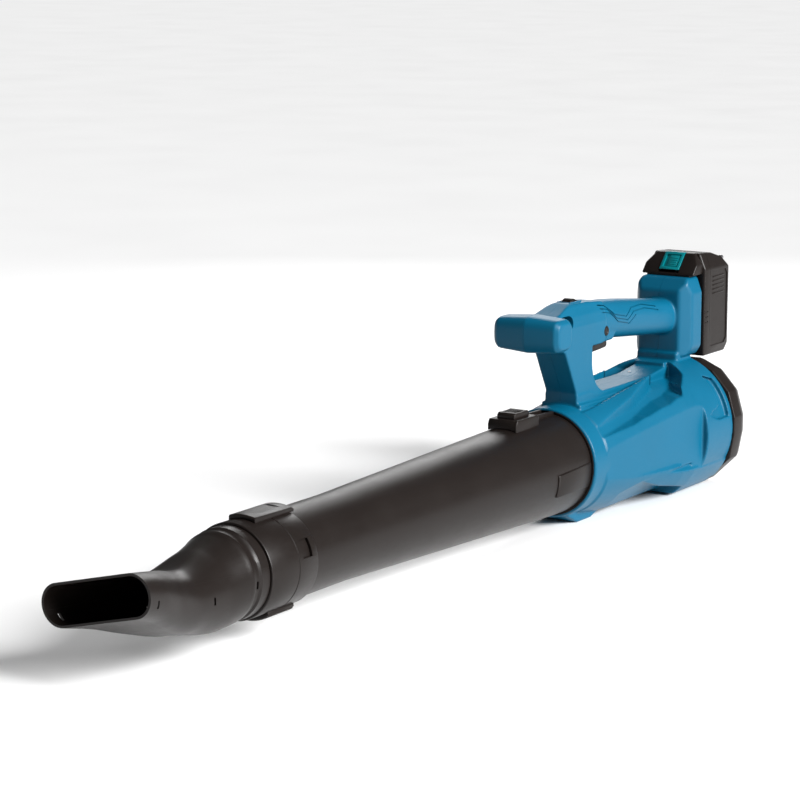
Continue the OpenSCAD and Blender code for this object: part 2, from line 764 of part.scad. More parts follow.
// ---------- battery ----------
batt_back = batt_front + batt_d;
batt_wall = 2.2;
split_y = batt_front + 14;
crown_h = 11;
module battery_shape(inset)
  intersection() {
    side_slab([
      [batt_front + inset, batt_z0 + inset], [batt_front + inset, batt_top + crown_h - inset],
      [batt_back - 34, batt_top + crown_h - 2 - inset], [batt_back - 10, batt_top + 3 - inset],
      [batt_back - inset, batt_top - 8], [batt_back - inset, batt_z0 + 8], [batt_back - 8, batt_z0 + inset]
    ], inset - batt_w / 2, batt_w / 2 - inset);
    translate([0, batt_back, axis_h]) rotate([90, 0, 0]) linear_extrude(batt_d) polygon([
      [batt_w / 2 - inset, batt_z0], [batt_w / 2 - inset, batt_top - 6], [batt_w / 2 - 8, batt_top + crown_h],
      [8 - batt_w / 2, batt_top + crown_h], [inset - batt_w / 2, batt_top - 6], [inset - batt_w / 2, batt_z0]
    ]);
  }
// Sloping hood in front of the crown, over the tool's mount.
hood_front = mount_front + 22;
hood_z = mount_top + 1.5;
module hood(inset)
  intersection() {
    side_slab([
      [hood_front + inset, hood_z + inset], [hood_front + inset + 1, hood_z + 4],
      [batt_front - 4, batt_top + crown_h - inset], [batt_front + 6, batt_top + crown_h - inset],
      [batt_front + 6, hood_z + inset]
    ], inset - 34, 34 - inset);
    translate([0, batt_front + 10, axis_h]) rotate([90, 0, 0]) linear_extrude(60) polygon([
      [34 - inset, hood_z], [34 - inset, hood_z + 14], [24 - inset, batt_top + crown_h],
      [inset - 24, batt_top + crown_h], [inset - 34, hood_z + 14], [inset - 34, hood_z]
    ]);
  }
module battery_rails() {
  difference() {
    union() {
      duct_box([-rail_half, rail_front, mount_z0 + shell_wall + 3.4],
        [rail_half, rail_front + 9, hood_z + 1]);
      duct_box([rail_lip - rail_half, rail_front + 8, mount_z0 + shell_wall + 3.4],
        [rail_half - rail_lip, batt_front + 1, hood_z + 1]);
    }
    for (x = [-12, 0, 12])
      duct_box([x - 1.2, rail_front - 1, mount_z0], [x + 1.2, rail_front + 7, term_z + 10]);
  }
}
latch_half = 13;
latch_z = hood_z + 6;
module latch_pocket(gap)
  duct_box([-latch_half - gap, hood_front - 5, hood_z + 3 - gap],
    [latch_half + gap, batt_front + 8, batt_top + crown_h + 5]);
module battery_case() color(black)
  difference() {
    union() {
      intersection() {
        battery_shape(0);
        duct_box([-big, batt_front - 5, 0], [big, split_y, big]);
      }
      hood(0);
      battery_rails();
    }
    intersection() {
      battery_shape(batt_wall);
      duct_box([-big, batt_front, 0], [big, split_y + 1, batt_top - 3]);
    }
    latch_pocket(slide_gap);
    battery_screw_shapes(nest_gap);
  }
module battery_cover() color(black)
  difference() {
    intersection() {
      battery_shape(0);
      duct_box([-big, split_y, 0], [big, batt_back + 5, big]);
    }
    intersection() {
      battery_shape(batt_wall);
      duct_box([-big, 0, 0], [big, batt_back, batt_top - 3]);
    }
    both_sides() side_panel_recess();
    battery_screw_shapes(nest_gap);
  }
module side_panel_recess()
  duct_box([batt_w / 2 - 0.8, split_y + 6, batt_z0 + 12], [batt_w / 2 + 1, batt_back - 8, batt_top - 16]);

cell_r = 9;
cell_len = 65;
cell_pitch = 19;
cell_y = [batt_front + 21.5, batt_front + 21.5 + cell_pitch + 3];
cell_z0 = batt_z0 + 16;
module battery_cells() color(cell_red)
  for (y = cell_y, k = [0 : 4])
    translate([-cell_len / 2, y, axis_h + cell_z0 + cell_pitch * k]) rotate([0, 90, 0])
      cylinder(r = cell_r, h = cell_len);
module cell_holder() color(black)
  both_sides() difference() {
    duct_box([cell_len / 2 - 12, cell_y[0] - cell_r - 0.8, cell_z0 - cell_r - 0.8],
      [cell_len / 2 - 6, cell_y[1] + cell_r + 0.8, cell_z0 + 4 * cell_pitch + cell_r + 0.8]);
    for (y = cell_y, k = [0 : 4])
      translate([0, y, axis_h + cell_z0 + cell_pitch * k]) rotate([0, 90, 0])
        cylinder(r = cell_r + nest_gap, h = cell_len);
  }
module battery_board() color(board_green)
  duct_box([-26, batt_front + 5, batt_z0 + 14], [26, batt_front + 6.6, batt_top - 22]);
module battery_contacts() color(copper)
  for (x = [-12, 0, 12], s = [-1, 1])
    duct_box([x + 0.6 * s + min(0, s) * 0.4, rail_front + 0.5, term_z - 8],
      [x + 0.6 * s + max(0, s) * 0.4, rail_front + 6, term_z + 8]);
batt_screw_places = [for (x = [-29, 29], z = [batt_z0 + 4.8, batt_top - 1]) [x, z]];
module battery_screw_shapes(gap)
  for (p = batt_screw_places)
    translate([p[0], batt_back - 8, axis_h + p[1]]) rotate([90, 0, 0]) {
      cylinder(r = screw_r + gap, h = batt_d - 14);
      translate([0, 0, -9]) cylinder(r = screw_head_r + gap, h = 9);
    }
module battery_screws() color(steel)
  intersection() {
    battery_screw_shapes(0);
    duct_box([-big, batt_front + 2, 0], [big, batt_back - 5, big]);
  }

// Release button of the battery in its sloping hood.
module battery_latch() color(teal)
  difference() {
    intersection() {
      hood(0);
      latch_pocket(0);
      side_slab([
        [hood_front, latch_z], [batt_front - 8, batt_top + crown_h],
        [batt_front - 1, batt_top + crown_h], [batt_front - 1, latch_z]
      ], -latch_half, latch_half);
    }
    duct_box([-7, batt_front - 12, latch_z - 1], [7, batt_front - 1.5, latch_z + 5]);
  }
module latch_spring() color(steel)
  coil(0, batt_front - 7, hood_z + 3.6, latch_z + 4.4, 3, 4);

// ---------- blow tube ----------
collar_back = -tube_len;
collar_front = collar_back - collar_len;
tube_tip = collar_front + 10;
taper_start = -30;
taper_end = 90 - tube_len;
latch_rail_half = 9;
module main_tube() color(black)
  union() {
    duct_turn([
      [tube_r, tube_plug], [tube_r, taper_start], [tube_tip_r, taper_end], [tube_tip_r, tube_tip],
      [tube_tip_r - tube_wall, tube_tip], [tube_tip_r - tube_wall, taper_end],
      [tube_r - tube_wall, taper_start], [tube_r - tube_wall, tube_plug]
    ]);
    tube_latch_base();
    both_sides() side_plate();
  }
// Low plate on each flank of the tube, just in front of the mouth.
module side_plate()
  intersection() {
    duct_turn([
      [tube_r - 1, -70], [tube_r + 0.6, -70], [tube_r + 1, -2.5], [tube_r - 1, -2.5]
    ]);
    side_slab([[-70, -18], [-70, 6], [-2.5, 6], [-2.5, -18]], 30, 70);
  }

// Block that carries the tube's latch, with two rails that run to the mouth.
latch_y0 = -100;
latch_y1 = -50;
latch_top = 71;
latch_pocket_y0 = -92;
latch_pocket_y1 = -60;
module tube_latch_base()
  difference() {
    union() {
      duct_box([-18, latch_y0, tube_r - 9], [18, latch_y1, latch_top - 6]);
      both_sides() duct_box([latch_rail_half - 3, latch_y1 - 1, tube_r - 3], [latch_rail_half, -2, tube_r + 4]);
    }
    duct_rod(tube_r - 2, latch_y0 - 1, 40);
    duct_box([-11 - slide_gap, latch_pocket_y0 - slide_gap, latch_top - 12],
      [11 + slide_gap, latch_pocket_y1 + slide_gap, latch_top + 1]);
  }
module tube_latch() color(black)
  difference() {
    duct_box([-11, latch_pocket_y0, latch_top - 8], [11, latch_pocket_y1, latch_top]);
    translate([0, (latch_pocket_y0 + latch_pocket_y1) / 2, axis_h + latch_top - 9]) cylinder(r = 5, h = 4);
  }
module tube_latch_spring() color(steel)
  coil(0, (latch_pocket_y0 + latch_pocket_y1) / 2, latch_top - 11.5, latch_top - 5.5, 3.6, 4);

module tube_seal() color(black)
  duct_ring(outlet_r - 2.8, tube_r - 0.02, tube_plug + 0.2, tube_plug + 3);

// ---------- collar and nozzle ----------
collar_in = tube_tip_r + slide_gap;
collar_out = collar_in + collar_wall;
module rolled()
  translate([0, 0, axis_h]) rotate([0, -nozzle_roll, 0]) translate([0, 0, -axis_h]) children();

module twist_collar() color(black)
  rolled() difference() {
    duct_turn([
      [collar_in, collar_back], [collar_out - 0.8, collar_back], [collar_out, collar_back - 3],
      [collar_out, collar_front + 2], [collar_out - 0.8, collar_front], [collar_in, collar_front]
    ]);
    duct_box([collar_in - 5, collar_back - 26, -6], [collar_out + 5, collar_back - 14, 2]);
  }

// Clip blocks on top of and below the collar.
clip_half = 15;
clip_h = 5;
module clip_block(y0, y1)
  intersection() {
    duct_box([-clip_half, y0, collar_in - 10], [clip_half, y1, collar_out + clip_h]);
    duct_ring(collar_out + eps, collar_out + clip_h, y0 - 1, y1 + 1);
  }
module collar_clips() color(black)
  rolled() {
    translate([0, 0, axis_h]) rotate([0, nozzle_roll, 0]) translate([0, 0, -axis_h])
      clip_block(collar_front + 17, collar_back + 6);
    translate([0, 0, axis_h]) rotate([0, 180, 0]) translate([0, 0, -axis_h])
      clip_block(collar_front + 22, collar_back - 10);
  }

// Nozzle stations: share of the length, half width, half height, rise.
land_r = collar_in - slide_gap;
station_t = 0.5;
nozzle_stations = [
  [0, tube_tip_r + 0.8, tube_tip_r + 0.8, 0], [0.12, tube_tip_r - 3, tube_tip_r - 1.4, -4],
  [0.3, 39, 39, -7], [0.5, 41, 29.5, -8], [0.7, 48.5, 26.5, 1], [0.85, 56.5, 22.5, 9],
  [1, mouth_w / 2, mouth_h / 2, mouth_rise]
];
seam_front = collar_front - nozzle_len - 20;
seam_rise = mouth_rise - 3;
module nozzle_slice(s, inset)
  translate([0, collar_front - 1 - s[0] * nozzle_len, axis_h + s[3]]) rotate([90, 0, 0]) {
    half_w = s[1] - inset;
    half_h = s[2] - inset;
    round_r = half_h;
    for (side = [-1, 1])
      translate([side * (half_w - round_r), 0, 0]) cylinder(r = round_r, h = station_t, $fn = 48);
  }
module nozzle_skin(inset, stretch)
  for (i = [0 : len(nozzle_stations) - 2])
    hull() {
      nozzle_slice(nozzle_stations[i], inset);
      nozzle_slice(nozzle_stations[i + 1] + [i == len(nozzle_stations) - 2 ? stretch : 0, 0, 0, 0], inset);
    }
module nozzle() {
  difference() {
    nozzle_skin(0, 0);
    nozzle_skin(nozzle_wall, 0.01);
    duct_rod(tube_tip_r - nozzle_wall, collar_front - 3, collar_front + 5);
  }
  duct_ring(land_r - 2.4, land_r - 0.1, collar_front - 1.5, collar_front + 8);
}
module nozzle_upper() color(black)
  rolled() intersection() {
    nozzle();
    side_slab([[collar_back, 0], [collar_front, 0], [seam_front, seam_rise], [seam_front, 90], [collar_back, 90]], -big, big);
  }
module nozzle_lower() color(black)
  rolled() intersection() {
    nozzle();
    side_slab([[collar_back, 0], [collar_front, 0], [seam_front, seam_rise], [seam_front, -90], [collar_back, -90]], -big, big);
  }

// The origin lies on the floor, under the middle of the front foot.
module stand() translate([0, -stand_y, 0]) children();

// ---------- one line per node ----------
stand() housing_right();
stand() housing_left();
stand() outlet_ring();
stand() rear_ring();
stand() intake_grille();
stand() fan_duct();
stand() tail_cone();
stand() motor_can();
stand() motor_stator();
stand() motor_rotor();
stand() motor_shaft();
stand() bearings();
stand() fan_impeller();
stand() fan_nut();
stand() switch_body();
stand() trigger();
stand() trigger_spring();
stand() lock_button();
stand() dial_bezel();
stand() speed_dial();
stand() speed_sensor();
stand() control_board();
stand() motor_leads();
stand() battery_leads();
stand() switch_leads();
stand() terminal_block();
stand() terminal_blades();
stand() housing_screws();
stand() ring_screws();
stand() battery_case();
stand() battery_cover();
stand() battery_cells();
stand() cell_holder();
stand() battery_board();
stand() battery_contacts();
stand() battery_screws();
stand() battery_latch();
stand() latch_spring();
stand() main_tube();
stand() tube_seal();
stand() tube_latch();
stand() tube_latch_spring();
stand() twist_collar();
stand() collar_clips();
stand() nozzle_upper();
stand() nozzle_lower();
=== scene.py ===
"""Cordless leaf blower: the moulded skins, the duct and the battery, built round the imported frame."""

import json
import math

import bmesh
import bpy
from mathutils import Matrix, Vector


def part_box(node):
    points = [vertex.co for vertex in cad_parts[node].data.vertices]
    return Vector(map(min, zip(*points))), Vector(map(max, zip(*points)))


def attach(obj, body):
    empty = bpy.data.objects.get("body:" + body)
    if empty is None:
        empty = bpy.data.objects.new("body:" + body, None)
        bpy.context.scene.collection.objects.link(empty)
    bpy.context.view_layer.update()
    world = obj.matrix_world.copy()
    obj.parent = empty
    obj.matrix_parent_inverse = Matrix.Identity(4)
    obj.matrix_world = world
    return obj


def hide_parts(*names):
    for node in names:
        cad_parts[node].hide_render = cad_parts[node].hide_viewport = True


bl_info = {
    "name": "Leaf Blower Maker",
    "version": (1, 0, 0),
    "blender": (4, 5, 0),
    "location": "View3D > Sidebar > Blower",
    "description": "Builds the visible pieces of a cordless leaf blower round its frame",
    "category": "Add Mesh",
}

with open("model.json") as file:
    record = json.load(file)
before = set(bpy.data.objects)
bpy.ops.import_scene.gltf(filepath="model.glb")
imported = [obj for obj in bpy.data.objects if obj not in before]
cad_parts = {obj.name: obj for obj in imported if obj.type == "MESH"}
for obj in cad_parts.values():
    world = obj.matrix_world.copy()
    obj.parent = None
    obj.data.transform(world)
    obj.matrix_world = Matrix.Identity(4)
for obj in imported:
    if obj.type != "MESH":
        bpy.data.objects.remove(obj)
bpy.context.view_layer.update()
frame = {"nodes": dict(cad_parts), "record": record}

MM = 0.001

OUTLET_LIP = 1.5
SHAFT_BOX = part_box("motor_shaft")
AXIS_Z = (SHAFT_BOX[0][2] + SHAFT_BOX[1][2]) / 2
MOUTH_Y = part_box("outlet_ring")[0][1] + OUTLET_LIP * MM
START = (0.0, MOUTH_Y, AXIS_Z)


def span(node, axis):
    """Lowest and highest reach of a CAD node along an axis, in millimetres from the duct's mouth."""
    low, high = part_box(node)
    return (low[axis] - START[axis]) / MM, (high[axis] - START[axis]) / MM


FLOOR = -AXIS_Z / MM
HOUSING_BACK = span("rear_ring", 1)[0]
RING_BACK = span("rear_ring", 1)[1]
COLLAR = span("twist_collar", 1)
NOZZLE = span("nozzle_upper", 1)
TUBE = span("main_tube", 1)
BATTERY = span("battery_case", 1)[0], span("battery_cover", 1)[1]
BATTERY_Z = span("battery_cover", 2)
OUTLET_R = span("outlet_ring", 0)[1]
RIDGE = span("dial_bezel", 2)[1] - 0.4
DIAL = [span("speed_dial", axis) for axis in range(3)]
BEZEL = [span("dial_bezel", axis) for axis in range(3)]


# ---------- solids, in millimetres from the duct's axis ----------
def slab(outline, low, high, axis="x"):
    """A closed slab: an outline in the two other axes, drawn out from low to high."""
    order = {"x": lambda a, b, t: (t, a, b), "y": lambda a, b, t: (a, t, b),
             "z": lambda a, b, t: (a, b, t)}[axis]
    bm = bmesh.new()
    face = bm.faces.new([bm.verts.new(order(a, b, low)) for a, b in outline])
    grown = bmesh.ops.extrude_face_region(bm, geom=[face])["geom"]
    step = Vector(order(0, 0, high - low))
    bmesh.ops.translate(bm, verts=[v for v in grown if isinstance(v, bmesh.types.BMVert)], vec=step)
    bmesh.ops.recalc_face_normals(bm, faces=bm.faces)
    return bm


def block(low, high):
    """A box from corner to corner."""
    bm = bmesh.new()
    bmesh.ops.create_cube(bm, size=1)
    size = [b - a for a, b in zip(low, high)]
    middle = [(a + b) / 2 for a, b in zip(low, high)]
    bmesh.ops.scale(bm, verts=bm.verts, vec=size)
    bmesh.ops.translate(bm, verts=bm.verts, vec=middle)
    return bm


def swung(bm, angle, axis):
    """Turns a solid about an axis through the middle of the duct's mouth."""
    bmesh.ops.rotate(bm, verts=bm.verts, cent=(0, 0, 0), matrix=Matrix.Rotation(angle, 3, axis))
    return bm


def turned(profile, steps=128, axis="y", centre=(0, 0, 0)):
    """A body turned from a closed profile of (radius, place along the axis)."""
    bm = bmesh.new()
    verts = [bm.verts.new((r, t, 0)) for r, t in profile]
    edges = [bm.edges.new((a, b)) for a, b in zip(verts, verts[1:] + verts[:1])]
    bmesh.ops.spin(bm, geom=verts + edges, cent=(0, 0, 0), axis=(0, 1, 0), dvec=(0, 0, 0),
                   angle=math.tau, steps=steps, use_merge=True)
    bmesh.ops.remove_doubles(bm, verts=bm.verts, dist=1e-4)
    bmesh.ops.dissolve_degenerate(bm, dist=1e-4, edges=bm.edges)
    bmesh.ops.recalc_face_normals(bm, faces=bm.faces)
    if axis == "x":
        swung(bm, -math.pi / 2, "Z")
    if axis == "z":
        swung(bm, math.pi / 2, "X")
    bmesh.ops.translate(bm, verts=bm.verts, vec=centre)
    return bm


def wrapped(points):
    """The closed skin stretched over a cloud of points."""
    bm = bmesh.new()
    for p in points:
        bm.verts.new(p)
    out = bmesh.ops.convex_hull(bm, input=bm.verts)
    spare = {g for g in out["geom_interior"] + out["geom_unused"] if isinstance(g, bmesh.types.BMVert)}
    bmesh.ops.delete(bm, geom=list(spare), context="VERTS")
    bmesh.ops.recalc_face_normals(bm, faces=bm.faces)
    return bm


def both_sides(bm):
    """A solid and its mirror image across the tool's middle plane, as one bmesh."""
    bmesh.ops.mirror(bm, geom=bm.verts[:] + bm.edges[:] + bm.faces[:], axis="X", merge_dist=-1)
    bmesh.ops.recalc_face_normals(bm, faces=bm.faces)
    return bm


def eased(bm, width, segments=2, limit=32):
    """Rounds every edge sharper than limit degrees."""
    sharp = [e for e in bm.edges if len(e.link_faces) == 2 and e.calc_face_angle(0) > math.radians(limit)]
    bmesh.ops.bevel(bm, geom=sharp, offset=width, offset_type="OFFSET", segments=segments,
                    profile=0.5, affect="EDGES", clamp_overlap=True, material=-1)
    return bm


def joined(*parts):
    """Several solids held in one bmesh, uncut."""
    whole = bmesh.new()
    for part in parts:
        mesh = bpy.data.meshes.new("part")
        part.to_mesh(mesh)
        part.free()
        whole.from_mesh(mesh)
        bpy.data.meshes.remove(mesh)
    return whole


def loose_object(bm):
    """A throwaway object that holds a solid while its modifiers work."""
    mesh = bpy.data.meshes.new("tool")
    bm.to_mesh(mesh)
    bm.free()
    obj = bpy.data.objects.new("tool", mesh)
    bpy.context.scene.collection.objects.link(obj)
    return obj


def worked(bm, *steps):
    """Puts a solid through Boolean steps (operation, solid) and ("REMESH", voxel)."""
    base = loose_object(bm)
    tools = []
    for operation, tool in steps:
        if operation == "REMESH":
            mod = base.modifiers.new("skin", "REMESH")
            mod.mode = "VOXEL"
            mod.voxel_size = tool
            continue
        other = loose_object(tool)
        other.hide_render = True
        tools.append(other)
        mod = base.modifiers.new("cut", "BOOLEAN")
        mod.operation = operation
        mod.solver = "MANIFOLD"
        mod.object = other
    graph = bpy.context.evaluated_depsgraph_get()
    mesh = bpy.data.meshes.new_from_object(base.evaluated_get(graph))
    result = bmesh.new()
    result.from_mesh(mesh)
    bpy.data.meshes.remove(mesh)
    for obj in [base] + tools:
        old = obj.data
        bpy.data.objects.remove(obj)
        bpy.data.meshes.remove(old)
    if not result.faces:
        raise RuntimeError("a Boolean step left nothing")
    return result


def fuse(first, *others):
    return worked(first, *[("UNION", o) for o in others])


def carve(first, *others):
    return worked(first, *[("DIFFERENCE", o) for o in others])


def meet(first, other):
    return worked(first, ("INTERSECT", other))


def softened(bm, voxel, rounds):
    """One even skin over everything, with its edges worn round."""
    bm = worked(bm, ("REMESH", voxel))
    for _ in range(rounds):
        bmesh.ops.smooth_vert(bm, verts=bm.verts, factor=0.5,
                              use_axis_x=True, use_axis_y=True, use_axis_z=True)
    return bm


def piece(name, bm, body, slot, replaces=(), sharp=30, roll=0.0):
    """Finishes a bmesh into a piece that rides on a body and stands for CAD nodes."""
    if roll:
        swung(bm, roll, "Y")
    bmesh.ops.scale(bm, verts=bm.verts, vec=(MM, MM, MM))
    bmesh.ops.translate(bm, verts=bm.verts, vec=START)
    for face in bm.faces:
        face.smooth = True
    for edge in bm.edges:
        if len(edge.link_faces) == 2:
            edge.smooth = edge.calc_face_angle(0) < math.radians(sharp)
    mesh = bpy.data.meshes.new(name)
    bm.to_mesh(mesh)
    bm.free()
    mesh.materials.append(FINISHES[slot])
    obj = bpy.data.objects.new(name, mesh)
    bpy.context.scene.collection.objects.link(obj)
    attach(obj, body)
    if replaces:
        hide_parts(*replaces)
    return obj


# ---------- materials ----------
class Wire:
    """A shader socket that adds Math nodes when it is used in an expression."""

    def __init__(self, finish, socket):
        self.finish = finish
        self.socket = socket

    def _math(self, operation, first, second):
        return self.finish.add("ShaderNodeMath", {"operation": operation}, {0: first, 1: second})

    def __add__(self, other):
        return self._math("ADD", self, other)

    def __radd__(self, other):
        return self._math("ADD", other, self)

    def __mul__(self, other):
        return self._math("MULTIPLY", self, other)


class Finish:
    """A material being built: one shader and the nodes that feed it."""

    def __init__(self, name):
        self.material = bpy.data.materials.new(name)
        self.material.use_nodes = True
        self.tree = self.material.node_tree
        self.shader = self.tree.nodes["Principled BSDF"]
        self.place = self.add("ShaderNodeTexCoord", {}, {}, "Object")

    def add(self, kind, settings, inputs, output=0):
        node = self.tree.nodes.new(kind)
        for key, value in settings.items():
            setattr(node, key, value)
        for key, value in inputs.items():
            self.feed(node.inputs[key], value)
        return Wire(self, node.outputs[output])

    def feed(self, socket, value):
        if isinstance(value, Wire):
            self.tree.links.new(value.socket, socket)
        else:
            socket.default_value = value

    def set(self, **values):
        for key, value in values.items():
            self.feed(self.shader.inputs[key.replace("_", " ")], value)

    def noise(self, scale, detail=3.0, rough=0.5):
        return self.add("ShaderNodeTexNoise", {}, {"Vector": self.place, "Scale": scale, "Detail": detail,
                                                   "Roughness": rough}, "Fac")

    def blend(self, factor, first, second):
        return self.add("ShaderNodeMix", {"data_type": "RGBA"}, {0: factor, 6: first, 7: second}, 2)

    def bump(self, height, distance, strength=1.0):
        wire = self.add("ShaderNodeBump", {}, {"Strength": strength, "Distance": distance, "Height": height})
        self.set(Normal=wire)


def shade(colour, factor):
    """A colour made lighter or darker, with its alpha."""
    return tuple(c * factor for c in colour[:3]) + (1.0,)


def moulded(name, colour, rough, grain=2600.0, depth=0.00005, mottle=0.12, coat=0.0):
    """Moulded plastic: fine spark texture, faint flow clouds and handling marks."""
    f = Finish(name)
    clouds = f.noise(22.0, 4.0)
    specks = f.noise(grain, 2.0)
    pits = f.add("ShaderNodeTexVoronoi", {"feature": "F1"}, {"Vector": f.place, "Scale": grain * 0.6},
                 "Distance")
    slant = f.add("ShaderNodeMapping", {}, {"Vector": f.place, "Scale": (30.0, 9.0, 30.0),
                                            "Rotation": (0.4, 0.2, 0.7)})
    scuffs = f.add("ShaderNodeTexNoise", {}, {"Vector": slant, "Scale": 9.0, "Detail": 8.0,
                                              "Roughness": 0.72}, "Fac")
    f.set(Base_Color=f.blend(clouds, shade(colour, 1 - mottle), shade(colour, 1 + mottle)))
    f.set(Roughness=clouds * 0.10 + scuffs * 0.16 + (rough - 0.13))
    f.set(Coat_Weight=coat, Specular_IOR_Level=0.2)
    f.bump(specks * 0.6 + pits * 0.4, depth)
    return f.material


def metal(name, colour, rough, streak):
    """Metal with fine drawing or brushing streaks along the duct."""
    f = Finish(name)
    drawn = f.add("ShaderNodeMapping", {}, {"Vector": f.place, "Scale": (1.0, streak, 1.0)})
    lines = f.add("ShaderNodeTexNoise", {}, {"Vector": drawn, "Scale": 900.0, "Detail": 4.0}, "Fac")
    f.set(Base_Color=f.blend(lines, shade(colour, 0.82), shade(colour, 1.08)), Metallic=1.0)
    f.set(Roughness=lines * 0.2 + (rough - 0.1))
    f.bump(lines, 0.00003)
    return f.material


def circuit(name, colour):
    """Coated circuit board with faint copper tracks."""
    f = Finish(name)
    tracks = f.add("ShaderNodeTexBrick", {"offset": 0.5},
                   {"Vector": f.place, "Scale": 240.0, "Mortar Size": 0.05}, "Fac")
    f.set(Base_Color=f.blend(tracks, shade(colour, 1.0), shade(colour, 2.2)), Roughness=0.35 + tracks * 0.1)
    f.bump(tracks, 0.00004)
    return f.material


FINISHES = {}


def make_finishes(look):
    """Every finish by the name of its material slot."""
    blue = tuple(look.housing_colour)
    black = tuple(look.duct_colour)
    FINISHES.update({
        "housing_blue": moulded("housing_blue", blue, 0.40, mottle=0.07),
        "black_plastic": moulded("black_plastic", black, 0.36, grain=3000.0),
        "inner_plastic": moulded("inner_plastic", (0.03, 0.03, 0.03), 0.5),
        "latch_teal": moulded("latch_teal", tuple(look.latch_colour), 0.3, mottle=0.05, coat=0.2),
        "rubber": moulded("rubber", (0.02, 0.02, 0.02), 0.75, grain=1500.0, depth=0.0001),
        "steel": metal("steel", (0.62, 0.62, 0.63), 0.32, 0.1),
        "spring_steel": metal("spring_steel", (0.5, 0.5, 0.5), 0.3, 1.0),
        "copper": metal("copper", (0.72, 0.38, 0.2), 0.3, 0.3),
        "board": circuit("board", (0.01, 0.12, 0.05)),
        "wire_red": moulded("wire_red", (0.5, 0.02, 0.015), 0.4, mottle=0.05),
        "cell_wrap": moulded("cell_wrap", (0.32, 0.035, 0.03), 0.25, mottle=0.1, coat=0.3),
    })


# ---------- sizes and colours a user would change ----------
class BlowerLook(bpy.types.PropertyGroup):
    housing_colour: bpy.props.FloatVectorProperty(
        name="Housing colour", description="Colour of the moulded housing", subtype="COLOR", size=3,
        default=(0.0, 0.078, 0.145), min=0, max=1)
    duct_colour: bpy.props.FloatVectorProperty(
        name="Duct colour", description="Colour of the tube, nozzle and battery", subtype="COLOR", size=3,
        default=(0.0078, 0.0056, 0.0048), min=0, max=1)
    latch_colour: bpy.props.FloatVectorProperty(
        name="Latch colour", description="Colour of the battery's release", subtype="COLOR", size=3,
        default=(0.0, 0.14, 0.16), min=0, max=1)
    floor_tone: bpy.props.FloatProperty(
        name="Floor tone", description="How pale the studio floor is", subtype="FACTOR",
        default=0.9, min=0, max=1)


class BlowerSizes(bpy.types.PropertyGroup):
    skin_cell: bpy.props.FloatProperty(
        name="Skin cell", description="Cell of the housing's even skin, in millimetres",
        default=1.25, min=1, max=4)
    skin_rounds: bpy.props.IntProperty(
        name="Edge wear", description="How far the housing's edges are rounded", default=2, min=0, max=12)
    nozzle_roll: bpy.props.FloatProperty(
        name="Nozzle roll", description="Roll of the nozzle and collar about the duct", subtype="ANGLE",
        default=math.radians(-13.5), min=-1, max=1)
    tube_steps: bpy.props.IntProperty(
        name="Tube facets", description="Facets round the turned pieces", default=144, min=32, max=256)


# ---------- housing ----------
MOUTH_R = OUTLET_R + 2.8
BOWL_R = span("housing_right", 0)[1] - 1.5
FLAT_Z = FLOOR + 3
TOP_Z = span("rear_ring", 2)[1]
# Foot and outer edge of each slope that cuts the flare back behind the neck.
SHOULDER = (
    ((54.0, 28.0, 30.0), (57.0, 28.0, 29.5)), ((47.2, 118.7, 40.2), (61.7, 113.1, 38.7)),
    ((38.4, 169.0, 48.7), (63.7, 154.0, 44.2)), ((30.7, 209.5, 53.9), (64.5, 190.0, 50.0)),
    ((24.5, 239.0, 57.0), (58.0, 212.0, 60.0)), ((23.5, 250.0, 63.0), (46.7, 238.8, 70.0)),
)
FIN_Z = -24.0
# Where the flattened flank starts: place along the duct, half width, height.
FLANK = ((27, 61.2, FIN_Z), (180, 72.0, FIN_Z), (234, 76.0, FIN_Z - 14))
NECK_BACK_R = 65.8
DUCT_STEPS = 160
PAST_BACK = HOUSING_BACK + 2
BAR_HALF = 41.0
LOCK_AT = (0, 99, 137)


def flare_solid():
    """Flared flanks and fan bowl: a cone cut back above the shoulder line and flattened on its flanks."""
    flare = turned([(0, 27), (MOUTH_R + 0.2, 27), (MOUTH_R + 1.8, 28.6), (BOWL_R - 1, 204), (BOWL_R, 216),
                    (BOWL_R, HOUSING_BACK - 1), (BOWL_R - 1, HOUSING_BACK), (0, HOUSING_BACK)], DUCT_STEPS)
    cutters = [block((-30, 0, 56), (30, 243, 120))]
    for first, second in zip(SHOULDER, SHOULDER[1:]):
        points = []
        for foot, edge in (first, second):
            foot, edge = Vector(foot), Vector(edge)
            run = (edge - foot).normalized()
            for p in (foot - run * 6, edge + run * 45):
                points += [p, p + Vector((0, 0, 75))]
        cutters.append(both_sides(wrapped(points)))
    tall = slab([(240, 80), (240, 120), (PAST_BACK, 120), (PAST_BACK, 80)], -120, 120)
    low = block((-120, 0, -120), (120, PAST_BACK, FLAT_Z))
    flank = []
    for ends in zip(FLANK, FLANK[1:]):
        points = []
        for y, x, z in ends:
            points += [(x, y, z), (x, y, 100), (120, y, z - 56), (120, y, 100)]
        flank.append(both_sides(wrapped(points)))
    chin = slab([(86, -22), (86, -92), (0, -92), (0, -63.5), (28, -63.5), (64, -33)], 70, 212, "y")
    under = slab([(60.0, 60), (66.0, 150), (73, 215), (79, PAST_BACK), (130, PAST_BACK), (130, 60)],
                 -100, -46, "z")
    pocket = meet(slab([(273, 64), (273, 30), (244, 23), (266, 15), (291, 15), (291, 58)], 20, 120),
                  turned([(BOWL_R - 1, 232), (BOWL_R - 5, 262), (BOWL_R - 5, 315), (120, 315), (120, 232)]))
    return carve(flare, *cutters, tall, low, *flank, both_sides(chin), both_sides(under), both_sides(pocket))


